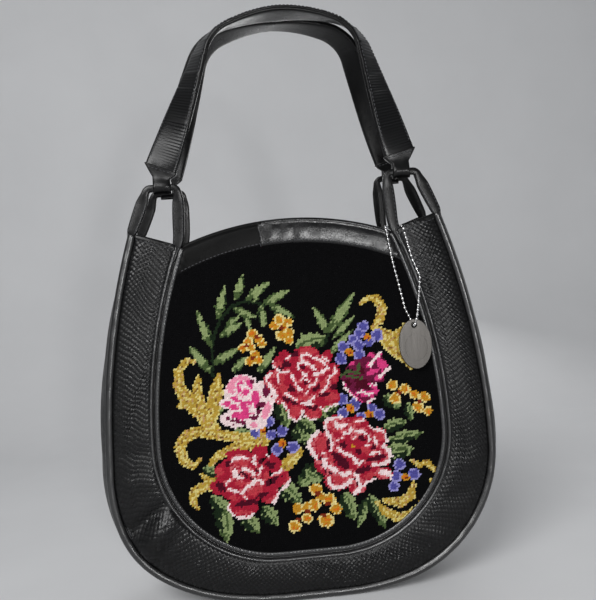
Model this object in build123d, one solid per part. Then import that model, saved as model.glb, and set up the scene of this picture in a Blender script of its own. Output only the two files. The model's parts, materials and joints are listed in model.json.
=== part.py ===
from build123d import *
import os
from collections import namedtuple
from math import asin, atan, cos, degrees, pi, radians, sin, tan

# Body of the bag, in millimetres
half_width = 174
half_depth = 45
mouth_peak = 342
mouth_slope_width = 44.5
valley_height = 323.5
corner_height = 339
panel_thickness = 2.4
overrun = 20

# Edge of the front: a flat base and three tangent arcs up each side
base_flat_half = 25
base_radius = 240
corner_centre_half = 52
side_radius = 660

# Outline of the needlepoint, at the outer edge of the inner binding
surround_width = 38
inner_bottom = 35.5
inner_base_radius = 240
inner_corner_centre_half = 26
inner_side_radius = 480

# Bindings: a rolled edge beside a flat stitched flange
inner_binding_width = 9.5
inner_seam_inset = 4.75
outer_binding_width = 8.5
outer_lip = 1.5
outer_lip_depth = 6
roll_width = 4
roll_height = 3.4
roll_fillet = 1.3
flange_height = 2

# Top band, in two lengths that lap at a seam
band_height = 22
band_seam = -26.4
band_left_proud = 1
band_right_proud = 1.6

# Gusset and lining
gusset_thickness = 2.2
gusset_bulge = 7
gusset_top = 330
gusset_clear = 0.4
base_sag = 1
gusset_shares = [0, 0.35, 0.7, 1]
lining_thickness = 0.8
lining_gap = 0.3
lining_top = 316

# Loops that carry the handles
loop_thickness = 3.2
leg_width = 9
inner_leg_offset = 1
inner_leg_lean = 3.3
outer_leg_lean = 16.6
bar_height = 377
bar_radius = 3

# Handles and their folded end tabs
strap_width = 29
strap_layer = 2.5
strap_layer_gap = 0.1
strap_gap = 1.2
tab_bore_clear = 0.3
tab_wall = 2.3
tab_side_clear = 1.2
tab_neck = 11
tab_height = 17
shoulder_draw_in = 41.3
shoulder_radius = 40
handle_apex = 533
crown_rise = 20
crown_radius = 150
crown_run_share = 0.68
shoulder_run_share = 0.31
twist_start_rise = 31
twist_end_drop = 1
strap_sections = 21

# Magnetic snap in the mouth
snap_radius = 8
snap_plate = 2
snap_rim = 1
snap_bore = 3
snap_stud_radius = 2.6
snap_stud_height = 1.6
snap_height = 331

# Steel tag and its ball chain
tag_half_width = 15
tag_half_height = 22.5
tag_thickness = 1.8
tag_hole_radius = 2.4
tag_hole_drop = 5.5
tag_edge_fillet = 0.5
tag_line_inset = 4.5
tag_line_width = 0.7
tag_line_depth = 0.35
bead_radius = 1.5
bead_pitch = 4.2
bead_sides = 8
link_width = 0.8
trim_clear = 0.4
connector_length = 8.4
connector_wall = 0.4

# Wool motifs, read from the photograph in its own pixels
wool_height = 0.7
photo_scale = 0.9
photo_roll = 4.5
photo_centre_px = (300, 400)
photo_base_px = 198.5
rose_sides = 28
rose_lobes = 7
floret_sides = 6
rose_lobe_share = 0.1
bead_flat_share = 0.45

red_roses_px = [(303, 383, 38), (350, 455, 41), (250, 482, 38)]
pink_roses_px = [(246, 402, 27), (366, 378, 25)]
violets_px = [
    (363, 327, 6), (375, 337, 7), (352, 345, 9), (340, 358, 6), (360, 352, 6),
    (267, 420, 6), (272, 434, 6), (284, 430, 7), (281, 447, 7), (292, 446, 6),
    (342, 398, 6), (349, 410, 7), (359, 404, 6), (370, 414, 7), (380, 414, 6),
    (399, 464, 7), (415, 473, 8), (404, 477, 7), (397, 485, 7),
]
blossoms_px = [
    (278, 321, 7), (289, 329, 6), (282, 336, 7), (289, 341, 5), (256, 335, 8), (247, 345, 8),
    (258, 355, 8), (392, 386, 6), (405, 390, 8), (395, 399, 6), (414, 395, 5), (424, 398, 6),
    (417, 408, 7), (428, 411, 5), (314, 490, 8), (329, 498, 9), (300, 506, 8), (312, 507, 7),
    (325, 521, 9), (335, 508, 6), (305, 518, 7), (295, 526, 8),
]
leaves_px = [
    (212, 372, 193, 348, 7), (209, 346, 200, 318, 7), (219, 314, 225, 288, 7), (233, 298, 245, 276, 7),
    (248, 298, 269, 283, 7), (267, 302, 289, 291, 7), (273, 305, 292, 316, 6), (232, 310, 256, 320, 6),
    (224, 332, 241, 327, 6), (216, 360, 235, 348, 7), (263, 304, 262, 327, 7), (244, 358, 233, 371, 6),
    (273, 350, 261, 369, 6), (325, 328, 315, 309, 7), (331, 326, 351, 295, 8), (333, 336, 350, 318, 5),
    (330, 349, 348, 329, 5), (306, 347, 322, 340, 14), (279, 402, 288, 424, 11), (297, 428, 302, 441, 13),
    (386, 397, 398, 405, 10), (407, 404, 411, 420, 6), (393, 428, 404, 422, 8), (392, 440, 418, 433, 8),
    (392, 452, 410, 450, 14), (221, 505, 228, 540, 14), (246, 514, 258, 530, 12), (266, 510, 276, 522, 11),
    (284, 488, 299, 500, 13), (347, 497, 354, 517, 10), (368, 503, 358, 525, 6), (372, 500, 384, 525, 8),
    (208, 470, 220, 476, 9), (214, 500, 226, 510, 9), (322, 415, 335, 405, 10), (306, 470, 300, 486, 10),
]
scrolls_px = [
    [(194, 362, 3), (183, 366, 7), (179, 380, 10), (186, 396, 16), (203, 412, 16), (214, 430, 10)],
    [(219, 374, 3), (216, 390, 14), (212, 412, 14)],
    [(200, 376, 3), (198, 390, 9), (200, 402, 12)],
    [(177, 407, 3), (190, 404, 9), (203, 410, 12)],
    [(234, 436, 7), (212, 432, 9), (192, 436, 12), (182, 447, 12), (183, 460, 10), (192, 466, 6),
     (199, 461, 3)],
    [(266, 441, 5), (245, 446, 12), (226, 455, 8), (210, 465, 4)],
    [(215, 482, 8), (202, 487, 9), (195, 496, 9), (198, 509, 3)],
    [(362, 301, 5), (371, 297, 5), (380, 304, 9), (381, 318, 9), (373, 328, 4)],
    [(380, 331, 8), (392, 340, 20), (398, 352, 12), (393, 359, 3)],
    [(404, 327, 3), (398, 340, 16), (404, 353, 14)],
    [(410, 461, 3), (424, 465, 4), (431, 468, 6), (437, 472, 3), (431, 479, 3)],
    [(417, 484, 6), (412, 496, 7), (400, 501, 8), (386, 500, 4)],
    [(421, 503, 5), (414, 512, 7), (402, 518, 8), (386, 511, 6), (378, 503, 4)],
    [(290, 452, 5), (284, 462, 9), (289, 470, 6)],
]

# Bottom ends of the chain, read from the photograph
left_strand_px = [(392, 260), (399, 286), (405, 309)]
right_strand_px = [(412, 258), (420, 276), (419, 297)]
tag_hole_px = (414, 325)

right_angle = degrees(pi / 2)
front_normal = (0, 0, 1)

# The front leans back so that the two handles nearly meet over the mouth
strap_half = strap_width / 2
bar_depth = loop_thickness / 2
lean = atan((half_depth - strap_half + bar_depth - strap_gap / 2) / handle_apex)

# The outlines of the front and of the needlepoint; the lip of the outer binding stands on the ground
Outline = namedtuple("Outline", "half flat bottom base corner side")
outer_bottom = outer_lip + outer_lip_depth * sin(lean)
corner_radius = half_width - corner_centre_half
outer_edge = Outline(half_width, base_flat_half, outer_bottom, base_radius, corner_radius, side_radius)
inner_half_width = half_width - surround_width
inner_corner_radius = inner_half_width - inner_corner_centre_half
inner_edge = Outline(
    inner_half_width, base_flat_half, inner_bottom, inner_base_radius, inner_corner_radius, inner_side_radius
)


def leaning_plane(depth, share):
    """Plane across the bag, from a depth behind its front at share 0 to its middle at share 1."""
    angle = lean * (1 - share)
    behind = (half_depth - depth / cos(lean)) * (1 - share)
    return Plane((0, -behind, 0), x_dir=(1, 0, 0), z_dir=(0, -cos(angle), sin(angle)))


front = leaning_plane(0, 0)


# Outlines and slabs, drawn flat: X across, Y up the front, Z out of it
def bowl_side(outline, inset, top):
    """Right half of a bowl outline, drawn in by inset, from the base up to a height."""
    turn = degrees(asin((outline.half - outline.flat - outline.corner) / (outline.base - outline.corner)))
    base_arc = JernArc((outline.flat, outline.bottom + inset), (1, 0), outline.base - inset, turn)
    corner_arc = JernArc(base_arc @ 1, base_arc % 1, outline.corner - inset, right_angle - turn)
    rise = top - (corner_arc @ 1).Y
    side_arc = JernArc(
        corner_arc @ 1, corner_arc % 1, outline.side - inset, degrees(asin(rise / (outline.side - inset)))
    )
    return [base_arc, corner_arc, side_arc]


def bowl(outline, inset, top):
    """Closed face of a bowl outline with a level brim."""
    right = bowl_side(outline, inset, top)
    left = [mirror(edge, about=Plane.YZ) for edge in right]
    foot = right[0] @ 0
    brim = right[-1] @ 1
    base_line = Line((-foot.X, foot.Y), (foot.X, foot.Y))
    brim_line = Line((-brim.X, brim.Y), (brim.X, brim.Y))
    return make_face([base_line, brim_line, *right, *left])


def bowl_ring(outline, inset, thickness, top):
    """Closed face of a strip that follows a bowl outline and is open at the top."""
    outside = bowl_side(outline, inset, top)
    inside = bowl_side(outline, inset + thickness, top)
    edges = []
    for side in (outside, inside):
        foot = side[0] @ 0
        edges += [Line((-foot.X, foot.Y), (foot.X, foot.Y)), *side]
        edges += [mirror(edge, about=Plane.YZ) for edge in side]
    outer_end = outside[-1] @ 1
    inner_end = inside[-1] @ 1
    end_line = Line((inner_end.X, inner_end.Y), (outer_end.X, outer_end.Y))
    return make_face([*edges, end_line, mirror(end_line, about=Plane.YZ)])


def slab(face, low, high):
    """Flat solid of a face, from one depth to another."""
    return Pos(0, 0, low) * extrude(face, amount=high - low, dir=front_normal)


corner_half = (bowl_side(outer_edge, 0, corner_height)[-1] @ 1).X + outer_lip
valley_half = corner_half - mouth_slope_width
arch_rise = mouth_peak - valley_height
arch_radius = (valley_half**2 + arch_rise**2) / (arch_rise + arch_rise)
arch_centre = mouth_peak - arch_radius
brim_reach = mouth_peak + overrun


def mouth_region():
    """Everything below the mouth edge: an arch between two valleys, rising to the side corners."""
    reach = half_width + overrun
    arch = ThreePointArc((-valley_half, valley_height), (0, mouth_peak), (valley_half, valley_height))
    slope = [(valley_half, valley_height), (corner_half, corner_height), (reach, corner_height)]
    far_slope = [(-across, height) for across, height in reversed(slope)]
    rim = Polyline(*slope, (reach, -overrun), (-reach, -overrun), *far_slope)
    return make_face([*arch.edges(), *rim.edges()])


def mouth_edge_height(across):
    """Height of the straight mouth edge beside the loops."""
    slope = (corner_height - valley_height) / mouth_slope_width
    return valley_height + (across - valley_half) * slope


below_mouth = mouth_region()
below_band = Pos(0, arch_centre) * Circle(arch_radius - band_height)
edge_face = bowl(outer_edge, 0, brim_reach) & below_mouth
seam_face = bowl(inner_edge, inner_seam_inset, brim_reach)
open_face = bowl(inner_edge, inner_binding_width, brim_reach)


# Panels of one side of the bag
def surround():
    return slab(edge_face - seam_face, -panel_thickness, 0)


def centre_panel():
    return slab(seam_face & below_band, -panel_thickness, 0)


def top_band(left_end, right_end, proud):
    """Length of the top band between two places across the bag."""
    reach = brim_reach + brim_reach
    window = Pos((left_end + right_end) / 2, 0) * Rectangle(right_end - left_end, reach)
    face = ((seam_face & below_mouth) - below_band) & window
    return slab(face, -panel_thickness, 0) + slab(face & open_face, 0, proud)


def rounded_roll(face):
    """Rolled edge: a raised strip with its two long top edges rounded."""
    solid = slab(face, 0, roll_height)
    top_edges = solid.edges().group_by(Axis.Z)[-1]
    long_edges = top_edges.filter_by(lambda edge: edge.length > roll_width + roll_width)
    return fillet(long_edges, roll_fillet)


def inner_binding():
    outside = bowl(inner_edge, 0, brim_reach)
    crease = bowl(inner_edge, roll_width, brim_reach)
    roll = rounded_roll((outside - crease) & below_mouth)
    flange = slab((crease - open_face) & below_mouth, 0, flange_height)
    return roll + flange


def outer_binding():
    outside = bowl(outer_edge, -outer_lip, brim_reach)
    crease = bowl(outer_edge, roll_width - outer_lip, brim_reach)
    inside = bowl(outer_edge, outer_binding_width, brim_reach)
    roll = rounded_roll((outside - crease) & below_mouth)
    flange = slab((crease - inside) & below_mouth, 0, flange_height)
    lip = slab((outside - bowl(outer_edge, 0, brim_reach)) & below_mouth, -outer_lip_depth, 0)
    return roll + flange + lip


# Loops: two legs that stand on the ends of the bindings, and a round bar between their heads
inner_leg_foot = valley_half + inner_leg_offset
inner_leg_head = inner_leg_foot - inner_leg_lean
outer_leg_foot = corner_half + outer_lip - leg_width / 2
outer_leg_head = outer_leg_foot - outer_leg_lean


def leg_face(foot, head):
    """Strip from below the mouth edge up to the bar, with a round head."""
    low = Vector(foot, mouth_edge_height(foot) - leg_width)
    high = Vector(head, bar_height)
    along = (high - low).normalized()
    side = Vector(along.Y, -along.X) * (leg_width / 2)
    strip = Polygon(low - side, low + side, high + side, high - side)
    return (strip + Pos(head, bar_height) * Circle(leg_width / 2)) - below_mouth


def loop():
    legs = leg_face(inner_leg_foot, inner_leg_head) + leg_face(outer_leg_foot, outer_leg_head)
    bar_plane = Plane((inner_leg_head, bar_height, bar_depth), x_dir=(0, 1, 0), z_dir=(1, 0, 0))
    bar = extrude(bar_plane * Circle(bar_radius), amount=outer_leg_head - inner_leg_head)
    return slab(legs, 0, loop_thickness) + bar


# Handle: a strap that lies flat at its ends and turns edge-on over the top
strap_foot = bar_height + tab_height
strap_centre = (inner_leg_head + outer_leg_head) / 2
shoulder_half = strap_centre - shoulder_draw_in
shoulder_height = handle_apex - crown_rise
foot_point = Vector(strap_centre, strap_foot)
shoulder_point = Vector(shoulder_half, shoulder_height)
crown_point = Vector(0, handle_apex)
far_shoulder_point = Vector(-shoulder_half, shoulder_height)
far_foot_point = Vector(-strap_centre, strap_foot)


def bend_radius(before, corner, after, wanted, run_share):
    """Radius of a bend of the strap, held to a share of the shorter run beside it."""
    arriving = corner - before
    leaving = after - corner
    half_turn = radians(arriving.get_angle(leaving)) / 2
    return min(wanted, run_share * min(arriving.length, leaving.length) / tan(half_turn))


shoulder_bend = bend_radius(foot_point, shoulder_point, crown_point, shoulder_radius, shoulder_run_share)
crown_bend = bend_radius(shoulder_point, crown_point, far_shoulder_point, crown_radius, crown_run_share)
strap_path = FilletPolyline(
    foot_point, shoulder_point, crown_point, far_shoulder_point, far_foot_point,
    radius=[shoulder_bend, crown_bend, shoulder_bend],
)
twist_start = strap_foot + twist_start_rise
twist_end = shoulder_height - twist_end_drop


def strap_frame(share):
    """Plane across the strap: X along its width, Y out of its snakeskin face."""
    point = strap_path @ share
    along = strap_path % share
    if share in (0, 1):
        along = Vector(0, 1 - share - share)
    rise = min(max((point.Y - twist_start) / (twist_end - twist_start), 0), 1)
    twist = (1 - cos(rise * pi)) * pi / 4
    outward = Vector(along.Y, -along.X)
    face = Vector(0, 0, cos(twist)) + outward * sin(twist)
    return Plane((point.X, point.Y, bar_depth), x_dir=face.cross(along), z_dir=along)


def strap(low, high):
    """One layer of the strap, between two levels of its thickness."""
    section = Pos(0, (low + high) / 2) * Rectangle(strap_width, high - low)
    shares = [index / (strap_sections - 1) for index in range(strap_sections)]
    return loft([strap_frame(share) * section for share in shares])


strap_outer = strap_layer_gap / 2 + strap_layer
tab_outer = bar_radius + tab_bore_clear + tab_wall
bar_clear_length = outer_leg_head - inner_leg_head - leg_width


def end_tab():
    """Leather folded round the bar, flaring from between the legs to the width of the strap."""
    plane = Plane((strap_centre, bar_height, bar_depth), x_dir=(0, 0, 1), z_dir=(-1, 0, 0))
    top = Line((-strap_outer, tab_height), (strap_outer, tab_height))
    fold = make_hull([*Circle(tab_outer).edges(), top])
    wrap = extrude(plane * fold, amount=strap_half, both=True)
    neck_half = bar_clear_length / 2 - tab_side_clear
    right = [(neck_half, -tab_outer), (neck_half, tab_neck), (strap_half, tab_height)]
    left = [(-across, height) for across, height in reversed(right)]
    flare = Pos(strap_centre, bar_height) * Polygon(*right, *left)
    bore = extrude(plane * Circle(bar_radius + tab_bore_clear), amount=strap_width, both=True)
    return (wrap & slab(flare, -strap_width, strap_width)) - bore


# Gusset and lining: lofted through sections across the depth of the bag
def gusset_outline(share):
    """Outline of the gusset, which bulges sideways and sags between the bindings."""
    swell = sin(share * pi / 2)
    half = half_width + gusset_bulge * swell
    bottom = outer_bottom * (1 - swell) - base_sag * swell
    turn = asin((half - base_flat_half - corner_radius) / (base_radius - corner_radius))
    start = bottom + base_radius - (base_radius - corner_radius) * cos(turn)
    brim = bowl_side(outer_edge, 0, gusset_top)[-1] @ 1
    draw = half - brim.X
    rise = gusset_top - start
    side = (draw**2 + rise**2) / (draw + draw)
    return Outline(half, base_flat_half, bottom, base_radius, corner_radius, side)


def across_depth(first_depth, section):
    """Loft of a section from the front to the back, each half a mirror of the other."""
    places = [(first_depth, 0), *[(outer_lip_depth, share) for share in gusset_shares]]
    near = [leaning_plane(depth, share) * section(gusset_outline(share)) for depth, share in places]
    far = [mirror(face, about=Plane.XZ) for face in reversed(near[:-1])]
    return loft([*near, *far])


def gusset():
    skin = across_depth(
        panel_thickness, lambda outline: bowl_ring(outline, gusset_clear, gusset_thickness, gusset_top)
    )
    ground = Pos(0, 0, -overrun) * Box(
        half_width + half_width + overrun, half_depth + half_depth + overrun, overrun + overrun
    )
    return skin - ground


def pouch(inset, top, depth):
    """Solid inside the gusset, held back from the front and the back."""
    return across_depth(depth, lambda outline: bowl(outline, inset, top))


def lining():
    inset = gusset_clear + gusset_thickness + lining_gap
    depth = panel_thickness + lining_gap
    outside = pouch(inset, lining_top, depth)
    inside = pouch(inset + lining_thickness, gusset_top, depth + lining_thickness)
    return outside - inside


# Magnetic snap, one half on the inside of each top band
def snap_socket():
    plate = Circle(snap_radius) - Circle(snap_bore)
    rim = Circle(snap_radius) - Circle((snap_radius + snap_bore) / 2)
    back = -panel_thickness - snap_plate
    disc = slab(plate, back, -panel_thickness) + slab(rim, back - snap_rim, back)
    return Pos(0, snap_height) * disc


def snap_stud():
    back = -panel_thickness - snap_plate
    plate = slab(Circle(snap_radius), back, -panel_thickness)
    stud = slab(Circle(snap_stud_radius), back - snap_stud_height, back)
    return Pos(0, snap_height) * (plate + stud)


# Wool motifs, cut to the open part of the canvas
def from_photo(across_px, down_px):
    """Place on the front of a pixel of the photograph."""
    across = across_px - photo_centre_px[0]
    down = down_px - photo_centre_px[1]
    roll = radians(photo_roll)
    along = across * cos(roll) - down * sin(roll)
    fall = across * sin(roll) + down * cos(roll)
    return Vector(along * photo_scale, (photo_base_px - fall) * photo_scale)


def rosette(across_px, down_px, radius_px):
    """Lobed outline of an open rose."""
    centre = from_photo(across_px, down_px)
    radius = radius_px * photo_scale
    corners = []
    for index in range(rose_sides):
        angle = (index + index) * pi / rose_sides
        reach = radius * (1 + rose_lobe_share * cos(rose_lobes * angle))
        corners.append(centre + Vector(cos(angle), sin(angle)) * reach)
    return Polygon(*corners)


def blossom(across_px, down_px, radius_px):
    """Small six-sided floret."""
    centre = from_photo(across_px, down_px)
    return Pos(centre.X, centre.Y) * RegularPolygon(radius_px * photo_scale, floret_sides)


def leaf(foot_x_px, foot_y_px, tip_x_px, tip_y_px, width_px):
    """Pointed leaf, widest towards its foot."""
    foot = from_photo(foot_x_px, foot_y_px)
    tip = from_photo(tip_x_px, tip_y_px)
    along = tip - foot
    side = Vector(-along.Y, along.X).normalized() * (width_px * photo_scale / 2)
    belly_shares = [0.15, 0.4, 0.75]
    belly_width_shares = [0.7, 1, 0.65]
    belly = list(zip(belly_shares, belly_width_shares))
    near = [foot + along * place + side * width for place, width in belly]
    far = [foot + along * place - side * width for place, width in reversed(belly)]
    return Polygon(tip, *reversed(near), foot, *reversed(far))


def scroll(*points_px):
    """Curling frond: a ribbon through a few places, with a width at each."""
    middle = [from_photo(across, down) for across, down, width in points_px]
    widths = [width * photo_scale / 2 for across, down, width in points_px]
    left = []
    right = []
    for index, point in enumerate(middle):
        along = middle[min(index + 1, len(middle) - 1)] - middle[max(index - 1, 0)]
        side = Vector(-along.Y, along.X).normalized() * widths[index]
        left.append(point + side)
        right.append(point - side)
    return Polygon(*left, *reversed(right))


def field(shape, table_px, taken):
    """Union of one kind of motif, cut to the canvas and clear of the motifs that lie over it."""
    motifs = [shape(*row) for row in table_px]
    whole = motifs[0].fuse(*motifs[1:]) & open_face & below_band
    for other in taken:
        whole -= other
    return whole


def wool_fields():
    """Fields of colour on the canvas, the uppermost first."""
    order = [
        ("wool_red_roses", rosette, red_roses_px),
        ("wool_pink_roses", rosette, pink_roses_px),
        ("wool_violets", blossom, violets_px),
        ("wool_yellow_blossoms", blossom, blossoms_px),
        ("wool_scrolls", scroll, scrolls_px),
        ("wool_leaves", leaf, leaves_px),
    ]
    taken = []
    solids = {}
    for name, shape, table_px in order:
        face = field(shape, table_px, taken)
        taken.append(face)
        solids[name] = slab(face, 0, wool_height)
    return solids


# Hang tag and ball chain
chain_behind_tag = wool_height + trim_clear + bead_radius
tag_back = chain_behind_tag + bead_radius + trim_clear
chain_before_tag = tag_back + tag_thickness + trim_clear + bead_radius
chain_over_binding = roll_height + trim_clear + bead_radius
tag_hole = from_photo(*tag_hole_px)
connector_radius = bead_radius + trim_clear / 2 + connector_wall
chain_left = inner_leg_foot - leg_width / 2 - bead_radius - trim_clear
chain_right = inner_leg_foot + leg_width / 2 + bead_radius + trim_clear
chain_top = mouth_edge_height(chain_right) + connector_radius + trim_clear
chain_back = -connector_radius - trim_clear


def hang_tag():
    hole = Pos(0, tag_half_height - tag_hole_drop) * Circle(tag_hole_radius)
    plate = slab(Ellipse(tag_half_width, tag_half_height) - hole, 0, tag_thickness)
    plate = fillet(plate.edges().group_by(Axis.Z)[-1], tag_edge_fillet)
    line_half_width = tag_half_width - tag_line_inset
    line_half_height = tag_half_height - tag_line_inset - tag_hole_drop
    outer_line = Ellipse(line_half_width, line_half_height)
    inner_line = Ellipse(line_half_width - tag_line_width, line_half_height - tag_line_width)
    line_place = Pos(0, -tag_hole_drop / 2)
    line_floor = tag_thickness - tag_line_depth
    groove = slab(line_place * (outer_line - inner_line), line_floor, tag_thickness + overrun)
    hang = Pos(tag_hole.X, tag_hole.Y - tag_half_height + tag_hole_drop, tag_back)
    return hang * (plate - groove)


def chain_route():
    """Closed loop round the foot of the front right loop and through the hole of the tag."""
    behind = [(chain_left, chain_top, chain_back), (chain_right, chain_top, chain_back)]
    right = [from_photo(*place_px) for place_px in right_strand_px]
    left = [from_photo(*place_px) for place_px in left_strand_px]
    over_right = (chain_right + bead_radius, chain_top - bead_radius, chain_over_binding - bead_radius)
    over_left = (chain_left - bead_radius, chain_top - bead_radius, chain_over_binding - bead_radius)
    down = [(place.X, place.Y, chain_over_binding) for place in right]
    up = [(place.X, place.Y, chain_over_binding) for place in reversed(left)]
    above = tag_hole.Y + tag_hole_drop + bead_radius
    aside = tag_hole_drop / 2
    before = [(tag_hole.X + aside, above, chain_before_tag), (tag_hole.X, tag_hole.Y, chain_before_tag)]
    beyond = [(tag_hole.X, tag_hole.Y, chain_behind_tag), (tag_hole.X - aside, above, chain_behind_tag)]
    return Polyline(*behind, over_right, *down, *before, *beyond, *up, over_left, close=True)


def bead():
    """Bead of the chain, with few flat sides."""
    waist = RegularPolygon(bead_radius, bead_sides)
    end = RegularPolygon(bead_radius * bead_flat_share, bead_sides)
    return loft([Pos(0, 0, -bead_radius) * end, waist, Pos(0, 0, bead_radius) * end], ruled=True)


def ball_chain():
    route = chain_route()
    count = round(route.length / bead_pitch)
    places = [route @ (index / count) for index in range(count)]
    ball = bead()
    pieces = []
    for place, following in zip(places, places[1:] + places[:1]):
        along = following - place
        link = Plane((place + following) / 2, z_dir=along) * Box(link_width, link_width, along.length)
        pieces += [Plane(place, z_dir=along) * ball, link]
    return pieces[0].fuse(*pieces[1:])


def chain_connector():
    """Split sleeve that closes the chain, behind the foot of the loop."""
    plane = Plane(
        (inner_leg_foot - connector_length / 2, chain_top, chain_back), x_dir=(0, 1, 0), z_dir=(1, 0, 0)
    )
    ring = Circle(connector_radius) - Circle(connector_radius - connector_wall)
    return extrude(plane * ring, amount=connector_length)


# All the pieces, by name, in place
def one_side(name):
    """Pieces that the front and the back share, drawn flat."""
    right_loop = loop()
    right_tab = end_tab()
    return {
        f"{name}_surround": surround(),
        f"{name}_inner_binding": inner_binding(),
        f"{name}_outer_binding": outer_binding(),
        f"{name}_right_loop": right_loop,
        f"{name}_left_loop": mirror(right_loop, about=Plane.YZ),
        f"{name}_handle_outer": strap(strap_layer_gap / 2, strap_outer),
        f"{name}_handle_lining": strap(-strap_outer, -strap_layer_gap / 2),
        f"{name}_handle_right_tab": right_tab,
        f"{name}_handle_left_tab": mirror(right_tab, about=Plane.YZ),
    }


def flat_pieces():
    """Front pieces, drawn flat."""
    return {
        **one_side("front"),
        "needlepoint_panel": centre_panel(),
        "front_top_band_left": top_band(-half_width, band_seam, band_left_proud),
        "front_top_band_right": top_band(band_seam, half_width, band_right_proud),
        **wool_fields(),
        "snap_socket": snap_socket(),
        "hang_tag": hang_tag(),
        "ball_chain": ball_chain(),
        "chain_connector": chain_connector(),
    }


def back_pieces():
    """Back pieces, drawn flat as if they were at the front."""
    return {
        **one_side("back"),
        "back_centre_panel": centre_panel(),
        "back_top_band": top_band(-half_width, half_width, band_left_proud),
        "snap_stud": snap_stud(),
    }


pieces = {"gusset": gusset(), "lining": lining()}
for node, solid in flat_pieces().items():
    pieces[node] = front * solid
for node, solid in back_pieces().items():
    pieces[node] = mirror(front * solid, about=Plane.XZ)

os.makedirs("parts", exist_ok=True)
for node, solid in pieces.items():
    export_step(solid, f"parts/{node}.step")
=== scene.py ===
import json
from collections import namedtuple
from math import asin, atan, ceil, cos, pi, radians, sin, tan
import bpy
import numpy as np
from mathutils import Matrix, Vector


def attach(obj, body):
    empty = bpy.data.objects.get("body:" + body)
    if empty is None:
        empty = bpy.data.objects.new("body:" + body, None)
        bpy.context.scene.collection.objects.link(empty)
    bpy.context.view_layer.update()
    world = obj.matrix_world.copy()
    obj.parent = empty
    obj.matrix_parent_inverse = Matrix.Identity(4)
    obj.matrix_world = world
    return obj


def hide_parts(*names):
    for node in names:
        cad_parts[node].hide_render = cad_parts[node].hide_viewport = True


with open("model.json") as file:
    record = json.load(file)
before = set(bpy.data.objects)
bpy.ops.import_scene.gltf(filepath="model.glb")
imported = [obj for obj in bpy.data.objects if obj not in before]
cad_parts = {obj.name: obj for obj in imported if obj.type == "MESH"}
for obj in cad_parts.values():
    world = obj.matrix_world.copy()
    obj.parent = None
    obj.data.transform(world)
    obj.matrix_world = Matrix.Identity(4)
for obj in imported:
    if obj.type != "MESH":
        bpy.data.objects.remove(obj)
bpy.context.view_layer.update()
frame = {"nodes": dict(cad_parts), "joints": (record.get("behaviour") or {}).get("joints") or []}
joints = {joint["name"]: joint for joint in frame["joints"]}

# Sizes of the bag, in metres, as the solids have them
half_depth = 0.045
mouth_peak = 0.342
arch_rise = 0.0185
mouth_slope_width = 0.0445
corner_half = 0.1405
corner_height = 0.339
band_height = 0.022
band_seam = -0.0264
bar_height = 0.377
bar_depth = 0.0016
bar_radius = 0.003
leg_width = 0.009
inner_leg_foot = 0.097
inner_leg_head = 0.0937
outer_leg_foot = 0.1375
outer_leg_head = 0.1209
tab_height = 0.017
tab_outer = 0.0056
tab_neck_half = 0.0079
strap_width = 0.029
strap_layer = 0.0025
handle_apex = 0.533
shoulder_height = 0.513
shoulder_radius = 0.040
crown_radius = 0.150
gusset_thickness = 0.0022
widest_height = 0.127
gusset_top = 0.330
gusset_clear = 0.0004
base_sag = 0.001
panel_thickness = 0.0024
lining_top = 0.316

# Sizes that are set apart from the solids, for the looks
tab_neck = 0.0088
shoulder_half = 0.067
handle_sway = {"front": 0.010, "back": 0.003}
twist_power = 1.35
gusset_bulge = 0.010

# Fine sizes of the looks
binding_step = 0.002
scale_width = 0.0040
scale_length = 0.0048
scale_relief = 0.00070
scale_tilt = 1.5
steps_per_scale = 5
plate_pitch = 0.015
plate_lift = 0.0009
crease_pitch = 0.0026
crease_depth = 0.00022
stitch_pitch = 0.0034
stitch_length = 0.0024
stitch_radius = 0.00042
stitch_rise_share = 0.3
stitch_ring_shares = [(-0.5, 0.25), (-0.32, 0.9), (0, 1.0), (0.32, 0.9), (0.5, 0.25)]
stitch_sides = 6
strip_reach = 0.010
strip_height = 0.002
wool_pitch = 0.00172
wool_length = 0.0030
wool_width = 0.0021
wool_relief = 0.00070
bead_radius = 0.0015
bead_pitch = 0.0042
tiny = 1e-12
seed = 7

# The photograph: its scale on the front, its roll and its frame
photo_scale = 0.0009
photo_roll = radians(4.5)
photo_centre_px = (300, 400)
photo_base_px = 198.5
photo_size_px = (596, 600)
camera_distance = 0.62
camera_yaw = radians(-3.5)
sensor = 36.0

# Needlepoint motifs, in pixels of the photograph: ellipses are x, y, half width, half height and any turn
rose_petals_px = [
    (305.5, 382, 31, 32), (272, 380, 8, 10), (278, 364, 6, 8), (285, 355, 5, 5), (306, 351.5, 12, 5),
    (327, 356, 5, 6), (334, 373, 5.5, 10), (330, 397, 10, 9), (313, 411, 9, 9), (295, 409, 9, 10),
    (281, 395, 9, 9), (349.5, 453, 34, 34), (318.5, 445, 11, 14), (336, 424, 13, 9), (355, 423, 13, 7),
    (378, 437, 9, 10), (384, 455, 7, 11), (383, 473, 9, 6), (357, 486, 9, 8), (337, 480, 13, 10),
    (321, 462, 7, 10), (243, 478, 27, 26), (238.5, 455, 13, 6), (259.5, 452, 8, 7), (273, 463, 8, 9),
    (280, 478, 10, 8, -30), (269, 494, 10, 10), (244, 506, 15, 11), (219.5, 487, 9, 7.5),
    (222, 472, 7, 9),
]
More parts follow.
